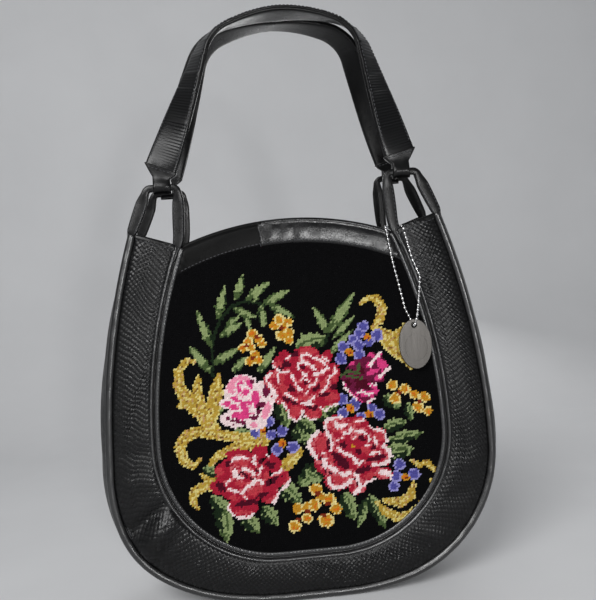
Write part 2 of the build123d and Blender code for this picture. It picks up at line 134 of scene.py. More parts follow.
rose_light_px = [
    (308, 350.5, 10, 3.6), (320, 363.5, 5, 4, 30), (279, 364, 4.5, 4.5), (272, 375, 4, 3),
    (282, 377, 3.4, 5), (284, 388.5, 6, 4, 20), (322.7, 384, 3.4, 5.5, 20), (331, 396, 6.5, 5),
    (314, 413, 6, 5), (295, 411, 6, 6), (302, 398, 7, 2.6), (334, 378, 3, 4), (321, 444.5, 6.5, 8),
    (330, 459, 3.4, 4.5), (338.3, 430, 6.5, 2.8), (355, 422.5, 5, 4), (379.7, 435.6, 4.5, 6.5, -30),
    (366.3, 449.6, 4, 5), (336.4, 477.5, 7.5, 5, 20), (347.2, 478.5, 5, 3, -20),
    (372, 475, 7.5, 3.6, -15), (330, 425, 3, 4), (240, 462.3, 8.5, 2.8), (219, 471.5, 4.5, 5),
    (240, 483.4, 6, 3), (256, 490.4, 8, 4, -30), (267.2, 475.7, 4.5, 4), (234.3, 497.4, 4.5, 3),
    (269.3, 501, 5, 2.6, -20), (288, 477, 2.6, 4), (244, 512.5, 9, 2),
]
rose_dark_px = [
    (294.3, 354, 4.3, 3.4), (286.5, 363.4, 4, 3.4), (281, 368.5, 3, 2.4), (291.7, 388.4, 5, 2.6, 35),
    (287.4, 398.7, 5.5, 2.8, 25), (324.4, 394.4, 6.5, 2.4, -10), (311.5, 406.5, 6.5, 3),
    (333, 386.7, 4.5, 3.4), (305.5, 383, 3.5, 1.5), (302.9, 367, 3, 2.6), (295.1, 402.4, 4, 2.4, 20),
    (317, 388, 4, 2.2, -40), (340.8, 460.5, 11.5, 4.4, 42), (362.5, 470, 10.5, 3.2, -12),
    (328, 443.3, 2, 7.5, -8), (375.3, 457.9, 10.5, 2.2, -12), (320.5, 462, 2, 6.5, -12),
    (328, 471.3, 5, 2, 20), (343.4, 445.2, 4, 3), (360.6, 436.9, 4, 2.4, 25), (373.3, 446, 2.6, 4, -20),
    (358, 451, 3, 4), (356, 481, 2.4, 4.5), (368, 486, 5, 2, -25), (221.6, 486.9, 5, 5),
    (260.9, 461.6, 2.6, 3.5), (270.7, 464.5, 5, 3), (272.8, 479.9, 8.5, 3, -32),
    (262.3, 494.6, 6.5, 2.6, -28), (247.6, 503, 11.5, 2.8, -8), (257, 469, 2, 3), (253.2, 478.5, 3, 3),
    (243, 474.3, 5.5, 4), (229, 463, 2.4, 4, 40),
]
rose_edge_px = [
    (2.5, (297.7, 367.7), (298.6, 363.4), (303.8, 361.7), (309.8, 364.3), (314.1, 368.6)),
    (2, (301.2, 372), (305.5, 375.5), (308, 372.9)),
    (2, (300.3, 380.2), (302.9, 378), (308.9, 380.6)),
    (2, (301.2, 358.3), (302, 354.8), (306.3, 353.9), (310.7, 355.7)),
    (2.3, (313.2, 358.3), (318.4, 358.3), (324.4, 363.4), (327.9, 367.7)),
    (2.2, (321.8, 357.4), (328.7, 360.8)),
    (2.8, (314.1, 374.6), (320.1, 372.9), (325.3, 369.5), (327.9, 367.7)),
    (2.2, (333.9, 367.7), (335.6, 371.2), (331.3, 375.5), (327.9, 378.9), (328.7, 383.2), (325.3, 388.4),
     (321, 391.8)),
    (2, (317.5, 378.9), (314.1, 384.1), (309.8, 385), (308, 390.1), (305.5, 393.6)),
    (2.2, (291.7, 375.5), (294.3, 381.5), (297.7, 386.7), (299.5, 390.1), (302.9, 388.4)),
    (1.8, (277.9, 374.6), (278.8, 383.2)),
    (1.8, (285.7, 359.1), (290, 356.5)),
    (2, (272.8, 361.7), (274.5, 367.7), (281.4, 372), (288.3, 371.2)),
    (3, (272.8, 372), (267.6, 375.5), (266.7, 379.8), (270.2, 386.7), (274.5, 390.1), (275.3, 395.3),
     (273.6, 399.6)),
    (2, (285.7, 393.6), (291.7, 397), (299.5, 401.3), (301.2, 403)),
    (2.6, (315, 395.3), (310.7, 400.5), (304.6, 403), (311.5, 403)),
    (2.2, (273.6, 400.5), (282.2, 402.2), (286.5, 408.2), (289.1, 416.8), (295.1, 420), (300.3, 418.5),
     (302.5, 411)),
    (2, (304.6, 416), (309.8, 419.6), (316.7, 419)),
    (2, (319.3, 405.6), (324.4, 410.8), (329.6, 406.5), (336.5, 403.9)),
    (4.2, (318.5, 430.5), (315.3, 433.7), (309.6, 440.7), (308.3, 446.5), (312.8, 452.2), (316.6, 457.9)),
    (3.6, (340.8, 416.5), (333.2, 417.8), (325.5, 420.3), (325.5, 426), (326.8, 432.4), (330, 436.9),
     (331.9, 443.3), (330.6, 449)),
    (3.6, (335.7, 422.2), (336.4, 426.7), (340.8, 426), (346.6, 424.1)),
    (3.6, (344.6, 433.1), (348.5, 432.4), (351, 428)),
    (3, (356.1, 431.1), (362.5, 431.1), (367.6, 435), (368.9, 439.4)),
    (2.2, (356.1, 420.9), (363.8, 419.7)),
    (2.2, (369.5, 425.4), (373.3, 428.6), (382.3, 429.9), (385.5, 435.6), (386.7, 440.7)),
    (2.8, (374, 438.2), (376.5, 443.3)),
    (3.8, (383.5, 445.8), (388.6, 449.6), (390.6, 455.4), (387.4, 461.8), (381.6, 464.3), (374, 464.3)),
    (2.8, (370.8, 454.7), (374.6, 452.2), (379.1, 452.2)),
    (2, (366, 444), (369, 445)),
    (3.2, (338.3, 448.4), (341.5, 451.6), (347.2, 453.5), (352.3, 456), (355.5, 460.5), (358.7, 464.3),
     (361.9, 461.1)),
    (1.6, (338, 440), (342, 438)),
    (1.6, (352, 439), (356, 436)),
    (2.4, (321, 453.5), (324.2, 453.5)),
    (4.6, (324.2, 459.2), (324.9, 465), (331.9, 468.1), (335.7, 470.7)),
    (3.2, (340.8, 472.6), (344.6, 474.5), (349.7, 472)),
    (4.2, (355.5, 473.9), (357.4, 477.7), (359.3, 484.7), (358.7, 489.8), (355.5, 492.4)),
    (2.4, (363.8, 486), (366.3, 481.5), (372.7, 479.6), (376.5, 479)),
    (5.4, (381.6, 472.6), (387.4, 472.6), (390.6, 475.8)),
    (3.8, (328.7, 477.7), (330, 483.4), (335, 488), (341.5, 487), (344.6, 484.1), (349.1, 482.8),
     (351.7, 479.6)),
    (2.8, (232.2, 461.6), (234.3, 458.1), (239.9, 456.7), (246.9, 458.1)),
    (2.4, (255.3, 455.3), (253.2, 460.9), (256, 464.5)),
    (2.6, (262.3, 466.6), (259.5, 471.5), (258.8, 475.7)),
    (4.4, (235, 470.1), (234.3, 475.7), (238.5, 477.1)),
    (3, (242.7, 468), (246.9, 468.7), (251.1, 470.8), (253.9, 474.3)),
    (1.6, (242, 478), (244, 477)),
    (2.4, (229.4, 479.9), (225.9, 483.4), (228, 489), (234.3, 491.1), (239.9, 491.1)),
    (3.4, (242, 492.5), (245.5, 488.3), (252.5, 483.4), (255.3, 479.9), (260.9, 479.9), (262.3, 482.7)),
    (2.2, (272.1, 474.3), (277.8, 472.2), (282, 468.7)),
    (2.6, (289.7, 479.9), (285.5, 486.2), (279.2, 491.1), (276.3, 498.1), (272.8, 503)),
    (2.6, (228.7, 503.7), (229.4, 509.3), (234.3, 515), (241.3, 517.6), (248.3, 517), (253.9, 514.2)),
    (1.4, (244.1, 496), (247.6, 498.8)),
    (1.6, (266.5, 454.6), (269.3, 456.7)),
]
pink_petals_px = [
    (243, 395, 19, 21), (262, 394, 10, 13), (235, 419, 14.5, 9), (255.6, 420, 11, 10), (227, 404, 8, 5),
    (267, 406, 6, 12),
]
pink_light_px = [
    (231, 387, 4, 7, 15), (239, 379, 6, 3.4, -20), (265.9, 411, 4, 9, 20), (254.4, 424.5, 4.5, 3),
    (246, 379, 4, 3), (228, 404, 5, 3),
]
pink_bright_px = [
    (255.6, 398, 5, 9), (245.2, 405.6, 5, 7), (237.2, 399.8, 6, 2.4, 10), (235, 406.7, 5, 3),
    (227.5, 403, 4, 2.6), (241.8, 415.5, 10, 4, 8), (250, 383, 3, 5, -20), (240, 387, 3, 5),
    (246, 392.5, 5, 2.6),
]
pink_dark_px = [
    (265.9, 390.6, 3.4, 5.5), (252.1, 381.4, 2.2, 2.2), (237.2, 421, 8, 2, 8), (228, 418.6, 3, 2),
    (258.4, 409.6, 2.4, 7, 10), (254.4, 417, 4, 3), (262.5, 403.9, 3.2, 2.4), (233.2, 424, 2.6, 1.4),
]
pink_edge_px = [
    (1.8, (234.9, 384.9), (235.5, 390.6), (237.8, 395.2), (244.1, 400.4), (249.8, 397), (251, 391.8)),
    (1.8, (237.2, 403.9), (240.1, 406.7), (239.5, 410.2)),
    (2, (248.7, 404.4), (253.3, 411.3)),
    (1.6, (259.6, 391.2), (261.3, 395.2), (260.2, 401)),
    (2, (240.6, 385.5), (244.7, 386), (242.4, 389.5)),
]
bud_outline_px = [
    (346, 367.7), (354.6, 359.1), (366.6, 356.5), (368.4, 352.2), (381.3, 353.9), (383.9, 360),
    (390.8, 366.9), (385.6, 372.9), (383, 380.6), (375.3, 383.2), (379.6, 391), (373.5, 397.9),
    (368.4, 403.9), (359.7, 400.5), (354.6, 398.7), (346, 391), (342.5, 383.2), (340.8, 378),
    (347.7, 373.8), (356.3, 370.3),
]
bud_bright_px = [
    (382, 364.3, 7, 4, 20), (372, 372, 6.5, 2.6, -25), (367.5, 394.4, 7.5, 3), (376, 390, 3, 5),
    (370.5, 355, 4.5, 2), (359, 402, 4.5, 2.4), (378, 378, 4, 3), (351, 363, 4, 2, -30),
]
bud_dark_px = [(362.3, 384.5, 9, 5.5), (360, 371, 5, 4), (347, 383, 4, 4)]
bud_edge_px = [
    (3.4, (379.6, 353), (374.4, 359.1), (370, 365.1)),
    (3, (389.9, 366.9), (383.9, 372.9), (379.6, 376.3)),
    (2.2, (370, 385), (376.1, 384.1)),
    (1.8, (357.2, 391.8), (362.3, 391), (368.4, 394.4), (373.5, 391.8)),
    (2, (342.5, 381.5), (345.1, 388.4), (352, 395.3), (357.2, 399.6)),
    (1.8, (374.4, 397.9), (367.5, 402.2)),
]
bud_green_px = [
    (3, (340.8, 376.3), (347.7, 371.2), (358, 372.9)),
    (3.6, (358.9, 364.3), (358, 369.5)),
    (2.4, (347.7, 375.5), (361.5, 378)),
]
violets_px = [
    (363, 327, 6), (359, 333, 5), (377, 335, 6), (369, 342, 5), (353, 340, 6), (343, 347, 6),
    (358, 345, 6), (341, 359, 6), (359, 355, 6), (269, 421, 6), (271, 434, 5), (282, 431, 6),
    (277, 449, 6), (293, 447, 6), (255, 433, 5), (342, 399, 6), (354, 404, 6), (343, 413, 6),
    (361, 416, 5), (372, 408, 5), (379, 414, 6), (399, 464, 6), (414, 474, 6), (396, 476, 6),
    (394, 486, 5),
]
violet_eyes_px = [
    (367, 337, 4), (349, 352, 4.5), (263, 430, 4), (282, 443, 4.5), (350, 408, 5), (369, 414, 4.5),
    (405, 477, 4),
]
blossoms_px = [
    (279, 320, 6), (288, 322, 5), (274, 326, 5), (284, 327, 5), (289, 332, 5), (281, 335, 6),
    (289, 340, 5), (252, 334, 6), (259, 339, 5), (262, 344, 4), (248, 341, 5), (243, 348, 5),
    (251, 347, 5), (255, 354, 5), (250, 361, 5), (258, 360, 5), (392, 385, 6), (404, 389, 6),
    (395, 398, 6), (414, 394, 5), (424, 397, 6), (418, 407, 6), (428, 411, 5), (316, 489, 7),
    (329, 499, 7), (298, 508, 6), (314, 505, 7), (326, 520, 8), (336, 508, 6), (307, 518, 6),
    (295, 526, 7), (306, 507, 5), (321, 496, 5),
]
blossom_eyes_px = [
    (282, 328, 2), (257, 337, 2.4), (246, 346, 2), (253, 358, 2.4), (399, 392, 2), (419, 401, 2),
    (318, 493, 2.6), (328, 503, 2.6), (308, 511, 2.4), (324, 515, 2.4), (299, 519, 2),
]
fern_stem_px = [
    (3, (213, 376), (212, 342), (220, 320), (232, 306), (246, 301), (264, 305)),
    (2.6, (324, 345), (331, 326)),
]
fern_leaves_px = [
    (236, 300, 243, 274, 8.5), (246, 300, 271, 281, 9), (263, 304, 290, 290, 8.5),
    (270, 306, 294, 317, 8), (261, 306, 264, 328, 8.5), (234, 309, 257, 318, 7),
    (218, 318, 225, 286, 9.5), (211, 346, 197, 311, 9), (220, 337, 243, 322, 8), (210, 371, 189, 346, 9),
    (214, 364, 240, 347, 9), (233, 372, 247, 356, 8), (259, 372, 276, 346, 8.5), (246, 316, 250, 333, 6),
    (329, 331, 354, 293, 10.5), (329, 333, 313, 307, 9), (333, 338, 354, 316, 7),
    (331, 352, 352, 330, 7), (226, 326, 240, 316, 6), (254, 303, 258, 290, 6),
]
leaves_px = [
    (297, 348, 326, 337, 19), (279, 402, 288, 427, 15), (296, 425, 305, 443, 16),
    (384, 396, 400, 408, 13), (407, 403, 411, 422, 9), (384, 429, 406, 420, 12),
    (389, 441, 422, 432, 12), (387, 453, 413, 449, 17), (222, 500, 227, 542, 18),
    (242, 513, 260, 532, 16), (263, 507, 278, 525, 15), (281, 485, 301, 502, 17),
    (344, 493, 354, 519, 15), (366, 499, 358, 527, 10), (369, 495, 386, 528, 13),
    (204, 468, 222, 477, 11), (211, 497, 229, 513, 14), (317, 419, 339, 403, 13),
    (319, 465, 299, 485, 18), (323, 478, 305, 469, 15), (214, 401, 221, 415, 11),
    (235, 432, 253, 434, 11), (299, 421, 317, 431, 13), (384, 463, 391, 445, 9),
    (301, 441, 312, 435, 10),
]
scrolls_px = [
    [(195, 362, 3), (186, 361, 6), (179, 371, 8), (179, 386, 10), (187, 399, 15), (203, 413, 17),
     (216, 432, 12)],
    [(219, 373, 2), (217, 388, 12), (214, 405, 15), (208, 421, 16)],
    [(199, 376, 2), (197, 388, 9), (199, 402, 12)],
    [(177, 406, 2), (188, 405, 8), (203, 413, 12)],
    [(262, 438, 9), (240, 437, 9), (214, 434, 10), (199, 431, 10), (187, 436, 11), (180, 447, 10),
     (184, 461, 9), (193, 466, 6), (200, 460, 3)],
    [(263, 441, 12), (247, 444, 13), (230, 450, 9), (216, 457, 7), (210, 465, 3)],
    [(202, 475, 3), (208, 480, 6), (222, 484, 11)],
    [(222, 484, 12), (206, 486, 9), (196, 491, 9), (193, 499, 7), (198, 509, 3)],
    [(299, 450, 8), (288, 463, 13), (281, 472, 8)],
    [(360, 303, 3), (368, 298, 5), (377, 299, 8), (382, 309, 9), (379, 320, 8), (372, 328, 3)],
    [(379, 332, 9), (391, 341, 20), (400, 353, 14), (402, 358, 3)],
    [(404, 325, 3), (399, 338, 15), (402, 352, 14), (411, 367, 3)],
    [(410, 460, 2), (419, 465, 4), (427, 461, 4), (431, 467, 5), (438, 471, 4), (435, 477, 3),
     (431, 480, 2)],
    [(413, 484, 5), (411, 495, 8), (400, 502, 9), (386, 500, 5)],
    [(420, 503, 4), (415, 511, 8), (401, 518, 9), (386, 512, 7), (378, 503, 4)],
]

# Folds of the snakeskin, in pixels: two ends, height and half width in metres
folds_px = [
    ((178, 514), (147, 551), 0.0062, 0.0095), ((167, 500), (132, 531), -0.0044, 0.0070),
    ((187, 533), (170, 560), 0.0010, 0.0045), ((163, 474), (118, 486), 0.0012, 0.0080),
    ((160, 450), (112, 452), -0.0008, 0.0070), ((176, 523), (160, 556), -0.0014, 0.0050),
    ((455, 470), (488, 455), 0.0010, 0.0080), ((445, 500), (476, 490), -0.0008, 0.0070),
    ((421, 533), (452, 541), 0.0012, 0.0070), ((300, 572), (305, 586), 0.0008, 0.0060),
    ((250, 566), (244, 585), 0.0010, 0.0060), ((463, 330), (480, 322), 0.0008, 0.0080),
]

# Chain, as the solids have it
left_strand_px = [(392, 260), (399, 286), (405, 309)]
right_strand_px = [(412, 258), (420, 276), (419, 297)]
tag_hole_px = (414, 325)

front_normal = Vector(joints["tag_swing"]["axis"])
sin_lean = front_normal.z
cos_lean = -front_normal.y
rng = np.random.default_rng(seed)


# Points and meshes
def on_front(flat):
    """Points given across, up and out of the front, in the frame of the part."""
    across, up, out = np.asarray(flat, float).T
    depth = -half_depth + up * sin_lean - out * cos_lean
    return np.column_stack([across, depth, up * cos_lean + out * sin_lean])


def from_photo(places_px):
    """Places on the front, across and up, of pixels of the photograph."""
    places = np.atleast_2d(np.asarray(places_px, float))
    across = places[:, 0] - photo_centre_px[0]
    down = places[:, 1] - photo_centre_px[1]
    along = across * cos(photo_roll) - down * sin(photo_roll)
    fall = across * sin(photo_roll) + down * cos(photo_roll)
    return np.column_stack([along, photo_base_px - fall]) * photo_scale


def camera_pose():
    """Place of the camera and its axes: right, up and back."""
    middle = from_photo([(photo_size_px[0] / 2, photo_size_px[1] / 2)])[0]
    aim = Vector(on_front([(middle[0], middle[1], 0)])[0])
    across = Vector((1, 0, 0))
    up = Vector((0, sin_lean, cos_lean))
    right = across * cos(photo_roll) - up * sin(photo_roll)
    top = across * sin(photo_roll) + up * cos(photo_roll)
    turned = Matrix.Rotation(camera_yaw, 3, up) @ Matrix((right, top, front_normal)).transposed()
    return aim + turned.col[2] * camera_distance, turned


def to_photo(places):
    """Pixels of the photograph of places on the front, seen by the camera."""
    place, axes = camera_pose()
    gaps = on_front(np.column_stack([places, np.zeros(len(places))])) - np.array(place)
    seen = gaps @ np.array(axes)
    reach = camera_distance / photo_scale / -seen[:, 2]
    across = photo_size_px[0] / 2 + seen[:, 0] * reach
    return np.column_stack([across, photo_size_px[1] / 2 - seen[:, 1] * reach])


def smooth_step(value):
    value = np.clip(value, 0, 1)
    return value * value * (3 - 2 * value)


def unit(vectors):
    return vectors / np.maximum(np.linalg.norm(vectors, axis=-1, keepdims=True), tiny)


def outwards(count):
    """Directions straight out of the front, one for each of a number of points."""
    return np.tile([0.0, 0.0, 1.0], (count, 1))


def around(sides):
    """Angles evenly round a turn."""
    return np.arange(sides) * 2 * pi / sides


def rounded(sides, square):
    """Closed rounded section with half a width of 1, across and out."""
    angles = around(sides)
    power = 2 / square
    across = np.sign(np.cos(angles)) * np.abs(np.cos(angles)) ** power
    return across, np.sign(np.sin(angles)) * np.abs(np.sin(angles)) ** power


class Shape:
    """Points, faces and values of a piece, gathered part by part."""

    def __init__(self):
        self.points = []
        self.faces = []
        self.values = {}
        self.count = 0

    def add(self, points, faces, **values):
        self.faces += [tuple(corner + self.count for corner in face) for face in faces]
        self.points.append(np.asarray(points, float))
        self.count += len(points)
        for name, column in values.items():
            self.values.setdefault(name, []).append(np.asarray(column, float))


def grid_faces(rows, columns, closed=False):
    """Quads of a grid of points, row by row; closed joins the last column to the first."""
    faces = []
    for row in range(rows - 1):
        start = row * columns
        for column in range(columns if closed else columns - 1):
            after = (column + 1) % columns
            faces.append((start + column, start + after, start + columns + after, start + columns + column))
    return faces


def tube_faces(rows, columns):
    """Quads of a closed tube of points with a cap at each end."""
    last = (rows - 1) * columns
    caps = [tuple(range(columns - 1, -1, -1)), tuple(range(last, last + columns))]
    return grid_faces(rows, columns, closed=True) + caps


def repeated(faces, count, size):
    """Faces of a number of like blocks, each with size points."""
    return [tuple(corner + index * size for corner in face) for index in range(count) for face in faces]


def facing(faces, kept):
    """Faces as they are, or turned over."""
    return faces if kept else [tuple(reversed(face)) for face in faces]


def piece(name, shape, material, body, replaces=(), back=False, thickness=0.0, flat=True):
    """Piece of the object from a shape; back turns a front piece to the back of the bag."""
    points = np.concatenate(shape.points)
    points = on_front(points) if flat else points
    if back:
        points = points * [1, -1, 1]
    mesh = bpy.data.meshes.new(name)
    mesh.from_pydata(points.tolist(), [], facing(shape.faces, not back))
    for label, columns in shape.values.items():
        column = np.concatenate(columns)
        if column.ndim == 2:
            layer = mesh.color_attributes.new(label, "FLOAT_COLOR", "POINT")
            layer.data.foreach_set("color", np.column_stack([column, np.ones(len(column))]).ravel())
        else:
            mesh.attributes.new(label, "FLOAT", "POINT").data.foreach_set("value", column)
    mesh.shade_smooth()
    mesh.materials.append(material)
    made = bpy.data.objects.new(name, mesh)
    bpy.context.scene.collection.objects.link(made)
    if thickness:
        shell = made.modifiers.new("thickness", "SOLIDIFY")
        shell.thickness = thickness
        shell.offset = -1
    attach(made, body)
    if replaces:
        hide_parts(*replaces)


def stitches(name, row, body, back):
    """Piece of thread stitches on leather."""
    piece(f"{name}_stitches", row, thread, body, (), back)


# Outlines of the front
Outline = namedtuple("Outline", "half flat bottom base corner side")
outer_edge = Outline(half=0.174, flat=0.025, bottom=0.00185, base=0.240, corner=0.122, side=0.660)
inner_edge = Outline(half=0.136, flat=0.025, bottom=0.0355, base=0.240, corner=0.110, side=0.480)
outline_step = 0.001
arc_points = 400
route_arc_points = 24
slump = 0.0065
slump_reach = 0.055
slump_centre = np.array([-0.154, 0.052])
slump_from = np.array([-0.050, 0.130])
valley_half = corner_half - mouth_slope_width
valley_height = mouth_peak - arch_rise
arch_radius = (valley_half**2 + arch_rise**2) / (2 * arch_rise)
arch_centre = mouth_peak - arch_radius


def mouth_height(across):
    """Height of the mouth edge: an arch between two valleys that rise to the corners."""
    across = np.abs(across)
    arch = arch_centre + np.sqrt(np.maximum(arch_radius**2 - across**2, 0))
    slope = (corner_height - valley_height) / mouth_slope_width
    rise = np.minimum(valley_height + (across - valley_half) * slope, corner_height)
    return np.where(across < valley_half, arch, rise)


def distances(points):
    """Distance of each point of a line from its start, along the line."""
    return np.concatenate([[0], np.cumsum(np.linalg.norm(np.diff(points, axis=0), axis=1))])


def taken(places, reach, columns):
    """Rows of a table at places along a line, between the rows that it has."""
    return np.column_stack([np.interp(places, reach, column) for column in columns.T])


def evenly(points, spacing):
    """The same line with its points spread evenly, about spacing apart."""
    reach = distances(points)
    count = max(int(round(reach[-1] / spacing)), 1) + 1
    return taken(np.linspace(0, reach[-1], count), reach, points)


def bowl_half(outline, inset, spacing):
    """Right half of a bowl outline, from the middle of the base up to the mouth edge."""
    turn = asin((outline.half - outline.flat - outline.corner) / (outline.base - outline.corner))
    base_centre = np.array([outline.flat, outline.bottom + outline.base])
    corner_centre = base_centre + (outline.base - outline.corner) * np.array([sin(turn), -cos(turn)])
    side_centre = np.array([outline.half - outline.side, corner_centre[1]])
    side_turn = asin((mouth_peak - corner_centre[1]) / (outline.side - inset))
    arcs = [
        (base_centre, outline.base - inset, -pi / 2, turn - pi / 2),
        (corner_centre, outline.corner - inset, turn - pi / 2, 0),
        (side_centre, outline.side - inset, 0, side_turn),
    ]
    points = [np.array([[0, outline.bottom + inset]])]
    for centre, radius, start, end in arcs:
        angles = np.linspace(start, end, arc_points)
        points.append(centre + radius * np.column_stack([np.cos(angles), np.sin(angles)]))
    line = np.concatenate(points)
    below = line[:, 1] <= mouth_height(line[:, 0])
    return evenly(line[: np.argmin(below)], spacing)


def bowl_path(outline, inset, spacing):
    """Whole bowl outline from the top left to the top right, and its directions inwards."""
    right = bowl_half(outline, inset, spacing)
    places = np.concatenate([right[:0:-1] * [-1, 1], right])
    if outline is outer_edge:
        gap = np.linalg.norm(places - slump_centre, axis=1) / slump_reach
        places += unit(slump_centre - slump_from) * slump * np.exp(-(gap**2))[:, None]
    along = unit(np.gradient(places, axis=0))
    return places, np.column_stack([-along[:, 1], along[:, 0]])


def arch_path(left_end, right_end, spacing):
    """Mouth arch between two places across, and its directions inwards, down the front."""
    across = np.linspace(left_end, right_end, int(ceil((right_end - left_end) / spacing)) + 1)
    places = np.column_stack([across, arch_centre + np.sqrt(arch_radius**2 - across**2)])
    inward = unit(np.array([0, arch_centre]) - places)
    return places, inward


def rounded_route(corners, radii, spacing):
    """Line of straight runs joined by tangent arcs, with even points."""
    corners = np.asarray(corners, float)
    points = [corners[:1]]
    for before, corner, after, radius in zip(corners, corners[1:], corners[2:], radii):
        arriving = unit(corner - before)
        leaving = unit(after - corner)
        side = np.sign(arriving[0] * leaving[1] - arriving[1] * leaving[0])
        turn = np.arccos(np.clip(arriving @ leaving, -1, 1))
        start = corner - arriving * radius * tan(turn / 2)
        across = side * np.array([-arriving[1], arriving[0]])
        angles = np.linspace(0, turn, route_arc_points)[:, None]
        points.append(start + radius * (np.sin(angles) * arriving + (1 - np.cos(angles)) * across))
    return evenly(np.concatenate([*points, corners[-1:]]), spacing)


def swept(places, inward, section):
    """Points of a closed section carried along a line on the front."""
    across, out = np.array(section, float).T
    flat = places[:, None, :] + inward[:, None, :] * across[None, :, None]
    heights = np.broadcast_to(out[None, :, None], (*flat.shape[:2], 1))
    return np.concatenate([flat, heights], axis=2).reshape(-1, 3)


def scaled(shares, width, height):
    """Points of a section from shares of its width and height."""
    return [(across * width, up * height) for across, up in shares]


def stitch_row(shape, points, normals, skip=0.0):
    """Thread stitches along a line of points, half sunk in the surface that the normals leave."""
    reach = distances(points)
    count = max(int((reach[-1] - skip - skip) / stitch_pitch), 1)
    centres = np.linspace(skip + stitch_pitch / 2, reach[-1] - skip - stitch_pitch / 2, count)
    ahead = taken(centres + stitch_length / 2, reach, points)
    along = unit(ahead - taken(centres - stitch_length / 2, reach, points))
    up = unit(taken(centres, reach, normals))
    side = unit(np.cross(along, up))
    middle = taken(centres, reach, points) + up * stitch_radius * stitch_rise_share
    rings = []
    for place, size in stitch_ring_shares:
        for angle in around(stitch_sides):
            turned = side * cos(angle) + up * sin(angle)
            rings.append(middle + along * place * stitch_length + turned * stitch_radius * size)
    faces = tube_faces(len(stitch_ring_shares), stitch_sides)
    shape.add(np.stack(rings, axis=1).reshape(-1, 3), repeated(faces, count, len(rings)))


# Materials
def shader(name):
    """New material: its node tree and its Principled shader."""
    made = bpy.data.materials.new(name)
    made.use_nodes = True
    tree = made.node_tree
    return made, tree, tree.nodes["Principled BSDF"]


def node(tree, kind, **inputs):
    """New node with values set on its inputs by name."""
    made = tree.nodes.new(kind)
    for label, value in inputs.items():
        made.inputs[label.replace("_", " ")].default_value = value
    return made


def placed(tree, made):
    """Gives a texture the piece's own coordinates."""
    place = tree.nodes.new("ShaderNodeTexCoord")
    tree.links.new(place.outputs["Object"], made.inputs["Vector"])
    return made


def noise(tree, scale, detail=3.0):
    """Noise over the piece's own coordinates, with scale in turns a metre."""
    made = node(tree, "ShaderNodeTexNoise", Scale=scale, Detail=detail, Roughness=0.55)
    return placed(tree, made).outputs["Fac"]


def cells(tree, scale):
    """Cell pattern over the piece's own coordinates."""
    made = placed(tree, node(tree, "ShaderNodeTexVoronoi", Scale=scale))
    made.feature = "DISTANCE_TO_EDGE"
    return made.outputs["Distance"]


def ramp(tree, source, low, high, out_low, out_high):
    """Source taken from one range to another."""
    made = node(tree, "ShaderNodeMapRange", From_Min=low, From_Max=high, To_Min=out_low, To_Max=out_high)
    tree.links.new(source, made.inputs["Value"])
    return made.outputs["Result"]


def blend_colours(tree, source, first, second):
    """Colour between two, chosen by a value from 0 to 1."""
    made = tree.nodes.new("ShaderNodeMix")
    made.data_type = "RGBA"
    tree.links.new(source, made.inputs[0])
    for socket, colour in ((made.inputs[6], first), (made.inputs[7], second)):
        if isinstance(colour, tuple):
            socket.default_value = (*colour, 1)
        else:
            tree.links.new(colour, socket)
    return made.outputs[2]


def bump(tree, shader_node, heights):
    """Chain of bumps, each a height source, a strength and a distance in metres."""
    normal = None
    for source, strength, distance in heights:
        made = node(tree, "ShaderNodeBump", Strength=strength, Distance=distance)
        tree.links.new(source, made.inputs["Height"])
        if normal is not None:
            tree.links.new(normal, made.inputs["Normal"])
        normal = made.outputs["Normal"]
    tree.links.new(normal, shader_node.inputs["Normal"])


def value_of(tree, label):
    """Value that the mesh holds at each point."""
    made = tree.nodes.new("ShaderNodeAttribute")
    made.attribute_name = label
    return made


def roughness(tree, shader_node, source, low, high):
    """Roughness between two values, by a noise."""
    tree.links.new(ramp(tree, source, 0.3, 0.7, low, high), shader_node.inputs["Roughness"])


leather_grain_depth = 0.00025
leather_cloud_depth = 0.0003
scale_grain_depth = 0.0002
scale_cloud_depth = 0.0006
thread_depth = 0.0002
brush_depth = 0.0001


def leather_material(name, dark, light, rough_low, rough_high, grain, shine):
    made, tree, skin = shader(name)
    cloud = ramp(tree, noise(tree, 38.0, 4.0), 0.35, 0.7, 0, 1)
    tree.links.new(blend_colours(tree, cloud, dark, light), skin.inputs["Base Color"])
    roughness(tree, skin, noise(tree, 160.0), rough_low, rough_high)
    skin.inputs["Specular IOR Level"].default_value = shine
    coarse = noise(tree, 260.0, 5.0)
    bump(tree, skin, [(cells(tree, grain), 0.3, leather_grain_depth), (coarse, 0.3, leather_cloud_depth)])
    return made


def snake_material(name, painted_groove_shade, dark, light):
    made, tree, skin = shader(name)
    relief = value_of(tree, "relief").outputs["Fac"]
    tone = value_of(tree, "tone").outputs["Fac"]
    scale = blend_colours(tree, tone, dark, light)
    # Colour runs from the groove colour low on each scale to the scale colour at its top: painted shade in
    # the grooves and painted sheen on the scale tops
    colour = blend_colours(tree, ramp(tree, relief, 0.1, 0.75, 0, 1), painted_groove_shade, scale)
    tree.links.new(colour, skin.inputs["Base Color"])
    tree.links.new(ramp(tree, tone, 0, 1, 0.42, 0.20), skin.inputs["Roughness"])
    skin.inputs["Specular IOR Level"].default_value = 0.27
    fine, coarse = noise(tree, 900.0, 4.0), noise(tree, 120.0, 3.0)
    bump(tree, skin, [(fine, 0.3, scale_grain_depth), (coarse, 0.2, scale_cloud_depth)])
    return made


